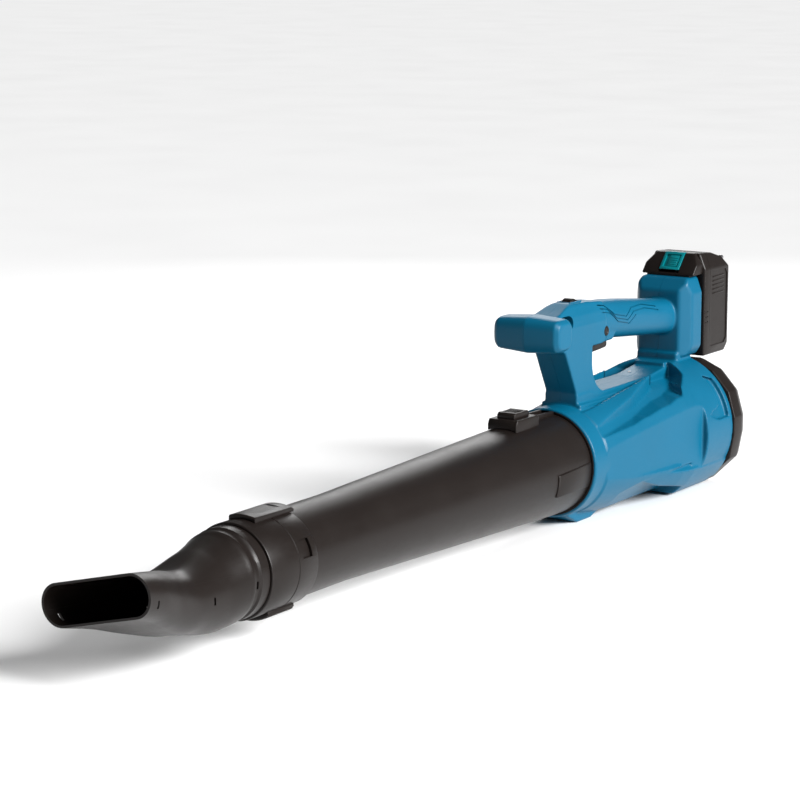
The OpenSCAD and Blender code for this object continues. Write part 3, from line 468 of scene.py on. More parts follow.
def neck_solid():
    """Straight neck round the tube's plug, widening to the fan bowl."""
    return turned([(0, 0), (MOUTH_R - 1.2, 0), (MOUTH_R, 1.2), (MOUTH_R, 140), (NECK_BACK_R, 198),
                   (NECK_BACK_R, 250), (0, 250)], DUCT_STEPS)


def fin_solids():
    """Lower fin and the skirt behind it, running into the back foot."""
    shell = turned([(0, 70), (MOUTH_R + 4.5, 70), (BOWL_R - 1, 190), (BOWL_R + 1, 215),
                    (BOWL_R + 1, HOUSING_BACK), (0, HOUSING_BACK)], DUCT_STEPS)
    fin = slab([(84, -22.5), (180, -22.5), (229, -37), (HOUSING_BACK, -38), (HOUSING_BACK, -60),
                (226, -60), (150, -46), (96, -30)], 20, 99)
    slope = slab([(56, -16), (99, -56), (99, -90), (30, -90), (30, -16)], 60, 320, "y")
    return [meet(meet(shell, both_sides(fin)), both_sides(slope))]



def handle_solids():
    """Pillar, head, grip, cross bar, deck, neck and battery mount."""
    half = 20
    window_y, window_z, window_r = 105, 106, 38
    window = []
    for a in range(180, 271, 9):
        c, s = math.cos(math.radians(a)), math.sin(math.radians(a))
        window.append((window_y + window_r * c, window_z + window_r * s))
    head = slab([(31, 48), (30, 76), (17, 100), (4, 124), (-12, 129), (-14, 133), (-14, RIDGE - 12),
                 (4, RIDGE - 7), (28, RIDGE), (67, RIDGE - 2), (98, RIDGE - 5), (98, 126), (88, 124),
                 (67, 124)] + window + [(window_y, 48)], -half, half)
    crown_side = [(half, 40), (half, RIDGE - 26), (18, RIDGE - 14), (13.5, RIDGE - 3.2), (9.5, RIDGE - 0.3)]
    crown = slab(crown_side + [(0, RIDGE + 0.4)] + [(-x, z) for x, z in reversed(crown_side)], -20, 110, "y")
    head = eased(meet(head, crown), 2.5, 3, 20)
    boss = eased(slab([(60, 124), (60, 150), (128, 150), (128, 132), (120, 124)], -17.5, 17.5), 3.0, 3)
    grip = wrapped(grip_cloud(0))
    bar = []
    for x, half_y, half_z in ((0, 21.5, 20.5), (BAR_HALF - 5, 18.5, 18), (BAR_HALF, 14.5, 14)):
        for k in range(40):
            a = math.tau * k / 40
            c, s = math.cos(a), math.sin(a)
            y = -34 + half_y * math.copysign(abs(c) ** 0.55, c)
            z = RIDGE - 26 + half_z * math.copysign(abs(s) ** 0.55, s)
            bar += [(x, y, z), (-x, y, z)]
    bar = wrapped(bar)
    deck = eased(slab([(30, 30), (30, 74), (61, 74), (79, 70), (200, 70), (258, 77), (HOUSING_BACK, 78),
                       (HOUSING_BACK, 30)], -21, 21), 1.5, 2)
    step = eased(slab([(30, 30), (30, 63), (84, 62), (HOUSING_BACK, 62), (HOUSING_BACK, 30)], -25, 25),
                 1.2, 2)
    neck = eased(slab([(-27, 262), (27, 262), (27, HOUSING_BACK), (-27, HOUSING_BACK)], 50, 90, "z"), 3, 2)
    mount_low, mount_high = 84, BATTERY_Z[0] + 97
    mount = slab([(37, 307), (37, 281), (26, 266), (-26, 266), (-37, 281), (-37, 307)],
                 mount_low, mount_high, "z")
    nose = slab([(262, 80), (262, mount_high - 18), (281, mount_high + 1), (310, mount_high + 1), (310, 80)],
                -60, 60)
    sides = slab([(37.5, 95), (37.5, mount_high - 20), (30, mount_high + 1), (-30, mount_high + 1),
                  (-37.5, mount_high - 20), (-37.5, 95), (-30, 83), (30, 83)], 255, 315, "y")
    mount = eased(meet(meet(mount, nose), sides), 3.0, 3, 20)
    return [head, boss, grip, bar, deck, step, neck, mount]


def foot_solids():
    """Narrow front foot and wide back foot, both down to the floor."""
    front = slab([(8, -46), (8, -60), (31, FLOOR), (62, FLOOR), (97, -60), (97, -46)], -23, 23)
    back = slab([(222, -50), (222, -60), (240, FLOOR), (284, FLOOR), (296, -62), (296, -50)], -44, 44)
    return [eased(front, 2.0, 3), eased(back, 2.0, 3)]


def opening_cutters():
    """Bore, strap eye, trigger slot, wheel slot and the channel of the battery's rails."""
    bore = turned([(0, -5), (OUTLET_R + 0.2, -5), (OUTLET_R + 0.2, 130), (62.4, 180), (63.7, 205),
                   (63.7, HOUSING_BACK + 5), (0, HOUSING_BACK + 5)], DUCT_STEPS)
    eye = wrapped([(x, 9 + side * 6 + 7.5 * math.cos(a), RIDGE - 19 + 7.5 * math.sin(a))
                   for x in (-60, 60) for side in (-1, 1) for a in [math.tau * k / 24 for k in range(24)]])
    trigger = block((-7.6, 87.4, 100), (7.6, 124.6, 140))
    wheel = block((BEZEL[0][0] - 0.1, BEZEL[1][0] - 0.1, RIDGE - 22),
                  (BEZEL[0][1] + 0.1, BEZEL[1][1] + 0.1, RIDGE + 8))
    lock = turned([(0, 5), (5.9, 5), (5.9, 60), (0, 60)], 48, "x", LOCK_AT)
    channel = block((-28.5, 288.5, 90), (28.5, 298.5, 200))
    throat = block((-24.5, 288.4, 90), (24.5, 320, 200))
    return [bore, eye, trigger, wheel, lock, channel, throat] + grip_lines()


# Stepped line on the grip: place along the duct, height from the handle's ridge.
GRIP_LINE = ((84, -8), (102, -11), (120, -23), (146, -28), (162, -20), (190, -20), (222, -26))
LINE_HALF = 0.6
LINE_DEPTH = 1.2
SEAM_HALF = 0.15


def grip_cloud(inset):
    """Points of the grip's rounded sections, drawn in by an inset."""
    stations = [(84, RIDGE - 26.5, 21.5, 19), (118, RIDGE - 27, 20.5, 18), (150, RIDGE - 29, 19.5, 17.5),
                (200, RIDGE - 35.5, 18.5, 17.5), (250, RIDGE - 42, 19, 19), (272, RIDGE - 45, 21, 22)]
    points = []
    for y, z, tall, wide in stations:
        for k in range(40):
            c, s = math.cos(math.tau * k / 40), math.sin(math.tau * k / 40)
            points.append(((wide - inset) * math.copysign(abs(c) ** 0.8, c), y,
                           z + (tall - inset) * math.copysign(abs(s) ** 0.8, s)))
    return points


def grip_lines():
    """Stepped lines cut shallow into both sides of the grip."""
    lines = []
    for drop, first, last in ((0, 0, 7), (4.5, 0, 7), (9, 0, 5)):
        run = [Vector((y + drop * 0.8, RIDGE + z - drop)) for y, z in GRIP_LINE[first:last]]
        for a, b in zip(run, run[1:]):
            across = (b - a).normalized().orthogonal() * LINE_HALF
            along = (b - a).normalized() * 0.5
            outline = [a - along + across, b + along + across, b + along - across, a - along - across]
            line = carve(slab([tuple(q) for q in outline], 2, 40), wrapped(grip_cloud(LINE_DEPTH)))
            lines.append(both_sides(line))
    return lines


class BLOWER_OT_housing(bpy.types.Operator):
    """Blue clamshell housing with its handle, in a right and a left half"""
    bl_idname = "blower.housing"
    bl_label = "Housing"

    def execute(self, context):
        sizes = context.scene.blower_sizes
        whole = fuse(flare_solid(), neck_solid(), *fin_solids(), *handle_solids(), *foot_solids())
        whole = meet(whole, block((-120, -80, FLOOR), (120, HOUSING_BACK + 15, 260)))
        boss = turned([(0, 10), (8.2, 10), (8.2, 18.6), (7.4, 19.4), (0, 19.4)], 48, "x", LOCK_AT)
        whole = softened(fuse(whole, boss), sizes.skin_cell, sizes.skin_rounds)
        whole = carve(whole, *opening_cutters())
        right = meet(whole.copy(), block((SEAM_HALF, -200, -200), (200, 500, 400)))
        left = meet(whole, block((-200, -200, -200), (-SEAM_HALF, 500, 400)))
        piece("housing_right_skin", right, "housing", "housing_blue", ["housing_right"], 50)
        piece("housing_left_skin", left, "housing", "housing_blue", ["housing_left"], 50)
        return {"FINISHED"}


# ---------- blow tube ----------
TUBE_R = OUTLET_R - 2.5
TUBE_WALL = 2.5
TIP_R = span("twist_collar", 0)[1] - 3.0


class BLOWER_OT_tube(bpy.types.Operator):
    """Tapering blow tube with its flank plates and latch block"""
    bl_idname = "blower.tube"
    bl_label = "Blow tube"

    def execute(self, context):
        steps = context.scene.blower_sizes.tube_steps
        back, tip = TUBE[1], TUBE[0]
        taper_start, taper_end = -30, COLLAR[1] + 90
        rings = 10
        run = taper_end - taper_start
        outside = [(TUBE_R + (TIP_R - TUBE_R) * k / rings, taper_start + run * k / rings)
                   for k in range(rings + 1)]
        inside = [(r - TUBE_WALL, y) for r, y in reversed(outside)]
        tube = turned([(TUBE_R - 0.5, back), (TUBE_R, back - 0.5)] + outside
                      + [(TIP_R, tip), (TIP_R - TUBE_WALL, tip)] + inside
                      + [(TUBE_R - TUBE_WALL, back)], steps)
        piece("blow_tube", tube, "tube", "black_plastic", ["main_tube"])
        base_low = 47
        base = slab([(-100, base_low), (-100, 59), (-97, 64.5), (-53, 64.5), (-50, 62), (-50, base_low)],
                    -18, 18)
        core = turned([(0, -110), (TUBE_R - 1.5, -110), (TUBE_R - 1.5, -30), (0, -30)], steps)
        base = carve(eased(base, 1.2, 3), block((-11.4, -92.4, 57), (11.4, -59.6, 80)), core)
        piece("latch_block", base, "tube", "black_plastic")
        inner, outer = 6.2, 9.2
        for name, near, far, reach in (("right", 0, 80, (inner, outer)), ("left", -80, 0, (-outer, -inner))):
            plate = turned([(TUBE_R - 1.4, -72), (TUBE_R - 0.6, -72.5), (TUBE_R + 0.8, -70),
                            (TUBE_R + 1.2, -3), (TUBE_R + 0.2, -2.5), (TUBE_R - 1, -2.5)], steps)
            plate = meet(plate, slab([(-73, -20), (-73, 4), (-2, 7.5), (-2, -20)], near, far))
            piece("flank_plate_" + name, eased(plate, 0.35, 2, 40), "tube", "black_plastic")
            rail = slab([(-51, 52), (-51, 62), (-44, 61), (-3, 60), (-2.2, 59), (-2.2, 52)], *reach)
            piece("latch_rail_" + name, eased(rail, 0.6, 2), "tube", "black_plastic")
        return {"FINISHED"}


def spring_pocket(node, low, high):
    """A block a little wider than a spring; an end left open stops just past the spring's own end."""
    (x0, x1), (y0, y1), (z0, z1) = (span(node, axis) for axis in range(3))
    return block((x0 - 0.5, y0 - 0.5, z0 - 0.4 if low is None else low),
                 (x1 + 0.5, y1 + 0.5, z1 + 0.4 if high is None else high))


class BLOWER_OT_tube_latch(bpy.types.Operator):
    """Ribbed press button that lets the tube go"""
    bl_idname = "blower.tube_latch"
    bl_label = "Tube latch"

    def execute(self, context):
        bottom, top = span("tube_latch", 2)
        outline = [(-92, bottom), (-92, top - 2.5), (-89, top), (-74, top - 0.6), (-63, top),
                   (-60, top - 2.5), (-60, bottom)]
        button = eased(slab(outline, -11, 11), 0.9, 3)
        ribs = [block((-8.5, y, top - 4), (8.5, y + 1.3, top + 0.4)) for y in (-84, -80.5, -77, -73.5, -70)]
        button = carve(button, spring_pocket("tube_latch_spring", bottom - 1, None))
        button = joined(button, *[eased(r, 0.4, 2) for r in ribs])
        piece("tube_latch_button", button, "tube_latch", "black_plastic", ["tube_latch"])
        return {"FINISHED"}


# ---------- collar and nozzle ----------
class BLOWER_OT_collar(bpy.types.Operator):
    """Twist collar with its slot and its two clips"""
    bl_idname = "blower.collar"
    bl_label = "Twist collar"

    def execute(self, context):
        sizes = context.scene.blower_sizes
        outer = span("twist_collar", 0)[1]
        inner = outer - 2.6
        back, front = COLLAR[1], COLLAR[0]
        ring = turned([(inner, back), (outer - 1, back), (outer - 0.3, back - 0.3), (outer, back - 1),
                       (outer, back - 30), (outer - 0.5, back - 30.6), (outer - 0.5, back - 31.6),
                       (outer, back - 32.2), (outer, front + 1.2), (outer - 0.4, front + 0.4),
                       (outer - 1.2, front), (inner, front)], sizes.tube_steps)
        ring = carve(ring, block((outer - 8, back - 24, -3), (outer + 8, back - 9, 15)))
        piece("twist_collar_ring", ring, "collar", "black_plastic", ["twist_collar"], roll=sizes.nozzle_roll)
        clips = []
        for turn, y0, y1 in ((-sizes.nozzle_roll, front + 17, back + 5), (math.pi, front + 22, back - 11)):
            shell = turned([(outer + 0.05, y0), (outer + 3.6, y0), (outer + 4.6, y0 + 1.5),
                            (outer + 4.6, y1 - 4), (outer + 2.6, y1), (outer + 0.05, y1)], sizes.tube_steps)
            clip = meet(shell, slab([(-15, 30), (15, 30), (15, 70), (-15, 70)], y0 - 1, y1 + 1, "y"))
            clip = carve(eased(clip, 0.7, 2, 50), block((-9, y0 + 10, outer + 3.8), (9, y1 - 14, outer + 8)))
            clips.append(swung(clip, turn, "Y"))
        piece("collar_clip_pair", joined(*clips), "collar", "black_plastic", ["collar_clips"],
              roll=sizes.nozzle_roll)
        return {"FINISHED"}


NOZZLE_BACK = COLLAR[0] - 1
NOZZLE_LEN = NOZZLE_BACK - NOZZLE[0]
NOZZLE_WALL = 2.4
LAND_R = TIP_R + 0.8
# Share of the nozzle's length, half width, half height, rise of the middle.
STATIONS = (
    (0.0, LAND_R, LAND_R, 0.0), (0.062, LAND_R, LAND_R, 0.0), (0.072, LAND_R - 1.6, LAND_R - 1.6, 0.0),
    (0.10, LAND_R - 1.8, LAND_R - 1.8, -0.5), (0.115, LAND_R - 0.6, LAND_R - 0.6, -0.8),
    (0.15, 43.0, 43.2, -2.5), (0.3, 40.0, 39.5, -6.5), (0.5, 41.5, 30.0, -7.5), (0.7, 48.5, 26.5, 1.0),
    (0.85, 56.5, 22.5, 9.0), (1.0, 62.0, 20.5, 15.0),
)


def nozzle_ring(bm, y, wide, tall, rise, count):
    """One closed loop of the nozzle: a circle that opens into a stadium."""
    straight = max(0.0, wide - tall)
    verts = []
    for k in range(count):
        a = math.tau * (k + 0.5) / count
        c, s = math.cos(a), math.sin(a)
        verts.append(bm.verts.new(((wide - straight) * c + math.copysign(straight, c), y, rise + tall * s)))
    return [bm.edges.new((a, b)) for a, b in zip(verts, verts[1:] + verts[:1])]


def nozzle_loft(grow, y_back, y_front, count=96, steps=80):
    """Closed solid that runs from the round seam to the flat mouth."""
    bm = bmesh.new()
    loops = []
    for i in range(steps + 1):
        y = y_back + (y_front - y_back) * i / steps
        u = min(1.0, max(0.0, (NOZZLE_BACK - y) / NOZZLE_LEN))
        wide, tall, rise = nozzle_section(u)
        loops.append(nozzle_ring(bm, y, wide + grow, tall + grow, rise, count))
    for first, second in zip(loops, loops[1:]):
        bmesh.ops.bridge_loops(bm, edges=first + second)
    bmesh.ops.holes_fill(bm, edges=bm.edges, sides=0)
    bmesh.ops.recalc_face_normals(bm, faces=bm.faces)
    return bm


def nozzle_section(u):
    """Half width, half height and rise of the nozzle at a share of its length, eased from its stations."""
    i = max(k for k in range(len(STATIONS) - 1) if STATIONS[k][0] <= u or k == 0)
    step = STATIONS[i + 1][0] - STATIONS[i][0]
    t = (u - STATIONS[i][0]) / step
    values = []
    for c in (1, 2, 3):
        slopes = []
        for k in (i, i + 1):
            near = [(STATIONS[j + 1][c] - STATIONS[j][c]) / (STATIONS[j + 1][0] - STATIONS[j][0])
                    for j in (k - 1, k) if 0 <= j < len(STATIONS) - 1]
            product = near[0] * near[-1]
            slopes.append(0.0 if product <= 0 else 2 * product / (near[0] + near[-1]))
        a, b = STATIONS[i][c], STATIONS[i + 1][c]
        values.append((2 * t ** 3 - 3 * t * t + 1) * a + (3 * t * t - 2 * t ** 3) * b
                      + step * ((t ** 3 - 2 * t * t + t) * slopes[0] + (t ** 3 - t * t) * slopes[1]))
    return values


class BLOWER_OT_nozzle(bpy.types.Operator):
    """Flat nozzle in an upper and a lower half with snap windows"""
    bl_idname = "blower.nozzle"
    bl_label = "Nozzle"

    def execute(self, context):
        sizes = context.scene.blower_sizes
        back, front = NOZZLE_BACK, NOZZLE_BACK - NOZZLE_LEN
        shell = carve(nozzle_loft(0, back, front), nozzle_loft(-NOZZLE_WALL, back + 0.5, front - 0.6))
        spigot = turned([(TIP_R - 2.6, back - 1), (TIP_R - 0.3, back - 1), (TIP_R - 0.3, back + 7),
                         (TIP_R - 2.6, back + 7)], 96)
        shell = fuse(shell, spigot)
        windows = []
        for share, height in ((0.09, -13), (0.42, -14), (0.93, 3)):
            y = back - share * NOZZLE_LEN
            windows.append(both_sides(block((30, y - 1.4, height - 3.5), (80, y + 1.4, height + 3.5))))
        shell = carve(shell, *windows)
        rise = 12
        for name, near, far_back, far_front in (("upper", 0.01, 60.01, 80), ("lower", -0.01, -90, -90)):
            keep = slab([(back + 20, far_back), (back + 20, near), (back, near), (front - 5, rise + near),
                         (front - 5, far_front)], -90, 90)
            piece("nozzle_%s_half" % name, meet(shell.copy(), keep), "nozzle", "black_plastic",
                  ["nozzle_" + name], roll=sizes.nozzle_roll)
        shell.free()
        return {"FINISHED"}


# ---------- rear ring ----------
class BLOWER_OT_rear_ring(bpy.types.Operator):
    """Black faceted ring round the air intake"""
    bl_idname = "blower.rear_ring"
    bl_label = "Rear ring"

    def execute(self, context):
        low, high = FLAT_Z + 1, TOP_Z
        half = [(30, high), (55, 66), (77, 42), (BOWL_R + 1.8, 12), (BOWL_R + 1.8, -8), (80, -38), (50, low)]
        outline = half + [(-x, z) for x, z in reversed(half)]
        small = [(x * 0.955, z * 0.955) for x, z in outline]
        cone = wrapped([(x, y, z) for x, z in outline for y in (HOUSING_BACK + 0.2, RING_BACK - 12)]
                       + [(x, RING_BACK, z) for x, z in small])
        cone = eased(cone, 1.3, 3, 12)
        throat = turned([(0, HOUSING_BACK - 2), (59.5, HOUSING_BACK - 2), (59.5, RING_BACK - 10),
                         (61, RING_BACK - 5), (65, RING_BACK + 0.5), (0, RING_BACK + 0.5)], 128)
        hole_r, hole_ring, flattened = 3.5, 79, 0.86
        holes = []
        for a in (32, 148, 212, 328):
            x, z = hole_ring * math.cos(math.radians(a)), hole_ring * math.sin(math.radians(a)) * flattened
            holes.append(turned([(0, RING_BACK - 5), (hole_r, RING_BACK - 5), (hole_r, RING_BACK + 2),
                                 (0, RING_BACK + 2)], 32, "y", (x, 0, z)))
        piece("intake_ring", carve(cone, throat, *holes), "housing", "black_plastic", ["rear_ring"])
        return {"FINISHED"}


# ---------- battery ----------
BATTERY_HALF = 37.5
CASE_SPLIT = 326


def battery_body():
    """Rounded pack: flat flanks, sloping crown."""
    back, low, top = BATTERY[1], BATTERY_Z[0], BATTERY_Z[1]
    front, half = 312, BATTERY_HALF
    side = slab([(front, low), (front, top), (back - 34, top - 2), (back - 12, top - 8.5), (back, top - 21),
                 (back, low + 9), (back - 9, low)], -half, half)
    crown = slab([(half, low - 1), (half, top - 19), (half - 8, top), (8 - half, top), (-half, top - 19),
                  (-half, low - 1)], front - 1, back + 1, "y")
    return meet(side, crown)


class BLOWER_OT_battery(bpy.types.Operator):
    """Slide-on battery: case, cover, flank panels and crown ribs"""
    bl_idname = "blower.battery"
    bl_label = "Battery"

    def execute(self, context):
        split = CASE_SPLIT
        back, low, top = BATTERY[1], BATTERY_Z[0], BATTERY_Z[1]
        body = eased(battery_body(), 2.2, 3, 15)
        case = meet(body.copy(), block((-60, 290, 0), (60, split - 0.2, 300)))
        hood_low, hood_front = low + 98.5, 287
        hood = slab([(hood_front, hood_low), (hood_front + 1, hood_low + 3), (308, top), (318, top),
                     (318, hood_low)], -34, 34)
        hood_cross = slab([(34, hood_low - 1), (34, hood_low + 12), (25, top + 0.01), (-25, top + 0.01),
                           (-34, hood_low + 12), (-34, hood_low - 1)], 280, 322, "y")
        hood = eased(meet(hood, hood_cross), 1.6, 3, 15)
        rails = fuse(block((-28, 289, 90), (28, 298, hood_low + 1)),
                     block((-24, 297, 90), (24, 313, hood_low + 1)))
        case = fuse(case, hood, rails)
        case = carve(case, block((-13.6, 276, hood_low + 2.6), (13.6, 312, top + 5)))
        grooves = [both_sides(block((36.7, 300, z), (60, 322, z + 1.2))) for z in (120, 126, 132)]
        piece("battery_case_skin", carve(case, *grooves), "battery", "black_plastic", ["battery_case"])
        cover = meet(body, block((-60, split + 0.2, 0), (60, 400, 300)))
        panel = slab([(split + 4, low + 10), (split + 4, top - 26), (split + 7, top - 23),
                      (back - 9, top - 23), (back - 5, top - 30), (back - 5, low + 16),
                      (back - 11, low + 10)], 36.6, 60)
        cover = carve(cover, both_sides(panel))
        vents = [both_sides(eased(block((36.2, split + 9, z), (37.3, back - 12, z + 1.8)), 0.4, 2))
                 for z in (top - 31, top - 36, top - 41, top - 46, top - 51)]
        slots = [block((-26, y, top - 9), (26, y + 3, top + 4)) for y in (331, 337.5, 344)]
        cover = joined(carve(cover, *slots), *vents)
        piece("battery_cover_skin", cover, "battery", "black_plastic", ["battery_cover"])
        return {"FINISHED"}


class BLOWER_OT_battery_latch(bpy.types.Operator):
    """Teal release button in its raised frame"""
    bl_idname = "blower.battery_latch"
    bl_label = "Battery latch"

    def execute(self, context):
        low, top = span("battery_latch", 2)
        front, back = span("battery_latch", 1)
        half = 12.8
        side = [(front, low), (front + 0.3, low + 0.8), (back - 3.4, top - 0.4), (back, top - 0.4),
                (back, low)]
        slope = math.atan2(top - 1.2 - low, back - 3.7 - front)
        plate = eased(slab(side, -half, half), 0.5, 2)
        run = Vector((0, math.cos(slope), math.sin(slope)))
        out = Vector((0, -math.sin(slope), math.cos(slope)))
        middle = Vector((0, front + 0.3, low + 0.8)) + run * ((top - 1.2 - low) / math.sin(slope) / 2)

        def tilted(bm):
            bmesh.ops.translate(swung(bm, slope, "X"), verts=bm.verts, vec=middle)
            return bm

        plate = carve(plate, tilted(block((-9.6, -9.2, -2.8), (9.6, 9.2, 6))))
        pad = tilted(eased(block((-4.5, -8.2, -3.0), (8.4, 8.2, -0.6)), 0.5, 2))
        bumps = [tilted(eased(block((-3, y, -0.9), (6.9, y + 1.2, -0.1)), 0.25, 2))
                 for y in (-5.5, -2.5, 0.5, 3.5)]
        latch = joined(plate, pad, *bumps)
        piece("battery_latch_button", latch, "battery_latch", "latch_teal", ["battery_latch"])
        return {"FINISHED"}


# ---------- controls ----------
class BLOWER_OT_controls(bpy.types.Operator):
    """Trigger, lock button and speed wheel with its bezel"""
    bl_idname = "blower.controls"
    bl_label = "Controls"

    def execute(self, context):
        outline = [(88, 129), (88, 113.5), (91, 113), (105, 113.6), (121, 114.6), (124, 116), (124, 129)]
        trigger = carve(eased(slab(outline, -7, 7), 1.2, 3), spring_pocket("trigger_spring", None, 131))
        stem = block((-3, 99, 128), (3, 101.5, 142))
        piece("trigger_paddle", joined(trigger, stem), "trigger", "black_plastic", ["trigger"])
        lock = turned([(0, 12.7), (7.0, 12.7), (7.0, 13.7), (5.5, 13.7), (5.5, 19.3), (4.9, 20.2),
                       (3.6, 20.4), (3.0, 19.9), (0, 19.7)], 48, "x", LOCK_AT)
        piece("lock_pin", lock, "lock_button", "black_plastic", ["lock_button"])
        wheel_y, wheel_z = sum(DIAL[1]) / 2, sum(DIAL[2]) / 2
        wheel_r = (DIAL[2][1] - DIAL[2][0]) / 2
        axle_r, notch_count, notch_ring = 1.5, 24, wheel_r + 0.2
        wheel = turned([(0, -8), (axle_r, -8), (axle_r, -6), (wheel_r - 0.8, -6), (wheel_r, -5.2),
                        (wheel_r, 5.2), (wheel_r - 0.8, 6), (axle_r, 6), (axle_r, 8), (0, 8)], 72, "x",
                       (0, wheel_y, wheel_z))
        notches = []
        for k in range(notch_count):
            a = math.tau * k / notch_count
            notches.append(turned([(0, -7), (0.8, -7), (0.8, 7), (0, 7)], 12, "x", (
                0, wheel_y + notch_ring * math.cos(a), wheel_z + notch_ring * math.sin(a))))
        piece("speed_wheel", carve(wheel, *notches), "speed_dial", "black_plastic", ["speed_dial"])
        low_y, high_y = BEZEL[1]
        bezel = eased(block((BEZEL[0][0], low_y, BEZEL[2][0]), (BEZEL[0][1], high_y, BEZEL[2][1])), 0.4, 2)
        bezel = carve(bezel, block((-7.5, low_y + 1.2, RIDGE - 6), (7.5, high_y - 1.2, RIDGE + 6)))
        piece("wheel_bezel", bezel, "housing", "housing_blue", ["dial_bezel"])
        return {"FINISHED"}


# ---------- carried-over CAD pieces ----------
class BLOWER_OT_inner_pieces(bpy.types.Operator):
    """Gives every CAD piece that stays its own finish"""
    bl_idname = "blower.inner_pieces"
    bl_label = "Inner pieces"

    def execute(self, context):
        slots = {s["node"]: s["material_slot"] for s in frame["record"]["subparts"]}
        for name, obj in frame["nodes"].items():
            obj.data.materials.clear()
            obj.data.materials.append(FINISHES[slots[name]])
        return {"FINISHED"}


# ---------- stage ----------
# Angles in degrees, lens in millimetres, reach in metres; the mouth sits right and up by a slope.
CAMERA_TURN = 32.5
CAMERA_RISE = 10.3
CAMERA_LENS = 121.5
CAMERA_REACH = 3.0
MOUTH_RIGHT = 0.05444
MOUTH_UP = -0.02333
FLOOR_HALF = 60
AMBIENT = 0.14
BACKDROP = 1.1
SUN_POWER = 7.6
SUN_SPREAD = 25
SUN_FROM = (1.0, 0.05, 0.52)
# Name, place, target, size and power of each panel light.
PANEL_LIGHTS = (
    ("key", (1.0, -0.9, 1.5), (0, -0.4, 0.1), (0.6, 1.8), 14),
    ("rim", (-1.0, 1.6, 1.0), (0, 0.1, 0.15), (1.0, 0.8), 10),
)


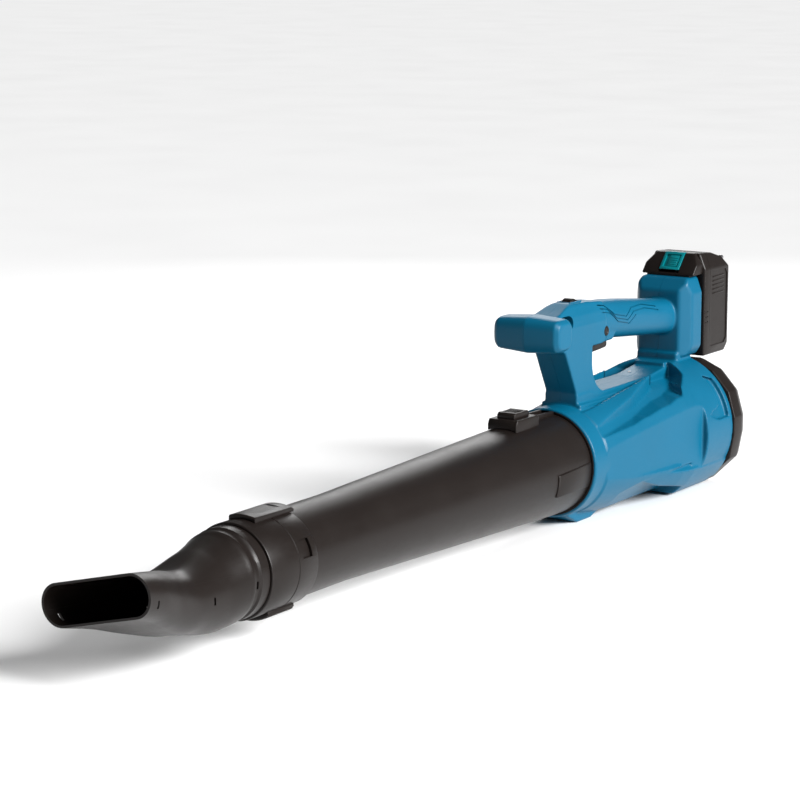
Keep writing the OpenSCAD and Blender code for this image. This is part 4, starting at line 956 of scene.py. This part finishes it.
class BLOWER_OT_stage(bpy.types.Operator):
    """Camera, pale floor and soft studio lights"""
    bl_idname = "blower.stage"
    bl_label = "Studio"

    def execute(self, context):
        scene = context.scene
        a, e = math.radians(CAMERA_TURN), math.radians(CAMERA_RISE)
        right = Vector((math.cos(a), math.sin(a), 0))
        back = Vector((math.sin(a) * math.cos(e), -math.cos(a) * math.cos(e), math.sin(e)))
        up = back.cross(right)
        data = bpy.data.cameras.new("camera")
        data.sensor_width = 36
        data.lens = CAMERA_LENS
        data.clip_end = 200
        camera = bpy.data.objects.new("camera", data)
        scene.collection.objects.link(camera)
        place = Vector(START) - (MOUTH_RIGHT * right + MOUTH_UP * up - back) * CAMERA_REACH
        turn = Matrix((right, up, back)).transposed()
        camera.matrix_world = Matrix.Translation(place) @ turn.to_4x4()
        scene.camera = camera
        bm = bmesh.new()
        bmesh.ops.create_grid(bm, x_segments=1, y_segments=1, size=FLOOR_HALF)
        mesh = bpy.data.meshes.new("floor")
        bm.to_mesh(mesh)
        bm.free()
        floor = bpy.data.objects.new("floor", mesh)
        scene.collection.objects.link(floor)
        f = Finish("studio_floor")
        tone = scene.blower_look.floor_tone
        f.set(Base_Color=(tone, tone, tone, 1), Roughness=0.35 + f.noise(3.0) * 0.1)
        mesh.materials.append(f.material)
        world = bpy.data.worlds.new("studio")
        world.use_nodes = True
        shader = world.node_tree.nodes["Background"]
        shader.inputs["Color"].default_value = (1, 1, 1, 1)
        path = world.node_tree.nodes.new("ShaderNodeLightPath")
        level = world.node_tree.nodes.new("ShaderNodeMapRange")
        level.inputs["To Min"].default_value = AMBIENT
        level.inputs["To Max"].default_value = BACKDROP
        world.node_tree.links.new(path.outputs["Is Camera Ray"], level.inputs["Value"])
        world.node_tree.links.new(level.outputs["Result"], shader.inputs["Strength"])
        scene.world = world
        for name, spot, target, size, power in PANEL_LIGHTS:
            light = bpy.data.lights.new(name, "AREA")
            light.shape = "RECTANGLE"
            light.size, light.size_y = size
            light.energy = power
            lamp = bpy.data.objects.new(name, light)
            scene.collection.objects.link(lamp)
            aim = Vector(target) - Vector(spot)
            lamp.matrix_world = Matrix.Translation(spot) @ aim.to_track_quat("-Z", "Y").to_matrix().to_4x4()
        sun = bpy.data.lights.new("sun", "SUN")
        sun.energy = SUN_POWER
        sun.angle = math.radians(SUN_SPREAD)
        lamp = bpy.data.objects.new("sun", sun)
        scene.collection.objects.link(lamp)
        lamp.matrix_world = Vector(SUN_FROM).to_track_quat("Z", "Y").to_matrix().to_4x4()
        scene.view_settings.view_transform = "Standard"
        return {"FINISHED"}


class BLOWER_PT_maker(bpy.types.Panel):
    """Buttons and sizes of the leaf blower"""
    bl_label = "Leaf blower"
    bl_idname = "BLOWER_PT_maker"
    bl_space_type = "VIEW_3D"
    bl_region_type = "UI"
    bl_category = "Blower"

    def draw(self, context):
        for group in (context.scene.blower_look, context.scene.blower_sizes):
            for key in group.__annotations__:
                self.layout.prop(group, key)
        for operator in OPERATORS:
            self.layout.operator(operator.bl_idname)


OPERATORS = (
    BLOWER_OT_stage, BLOWER_OT_inner_pieces, BLOWER_OT_housing, BLOWER_OT_tube, BLOWER_OT_tube_latch,
    BLOWER_OT_collar, BLOWER_OT_nozzle, BLOWER_OT_rear_ring, BLOWER_OT_battery, BLOWER_OT_battery_latch,
    BLOWER_OT_controls,
)
CLASSES = (BlowerLook, BlowerSizes) + OPERATORS + (BLOWER_PT_maker,)


def register():
    for item in CLASSES:
        bpy.utils.register_class(item)
    bpy.types.Scene.blower_look = bpy.props.PointerProperty(type=BlowerLook)
    bpy.types.Scene.blower_sizes = bpy.props.PointerProperty(type=BlowerSizes)


def unregister():
    del bpy.types.Scene.blower_sizes
    del bpy.types.Scene.blower_look
    for item in reversed(CLASSES):
        bpy.utils.unregister_class(item)


def main():
    register()
    make_finishes(bpy.context.scene.blower_look)
    bpy.ops.blower.stage()
    bpy.ops.blower.inner_pieces()
    bpy.ops.blower.housing()
    bpy.ops.blower.tube()
    bpy.ops.blower.tube_latch()
    bpy.ops.blower.collar()
    bpy.ops.blower.nozzle()
    bpy.ops.blower.rear_ring()
    bpy.ops.blower.battery()
    bpy.ops.blower.battery_latch()
    bpy.ops.blower.controls()


if __name__ == "__main__":
    main()
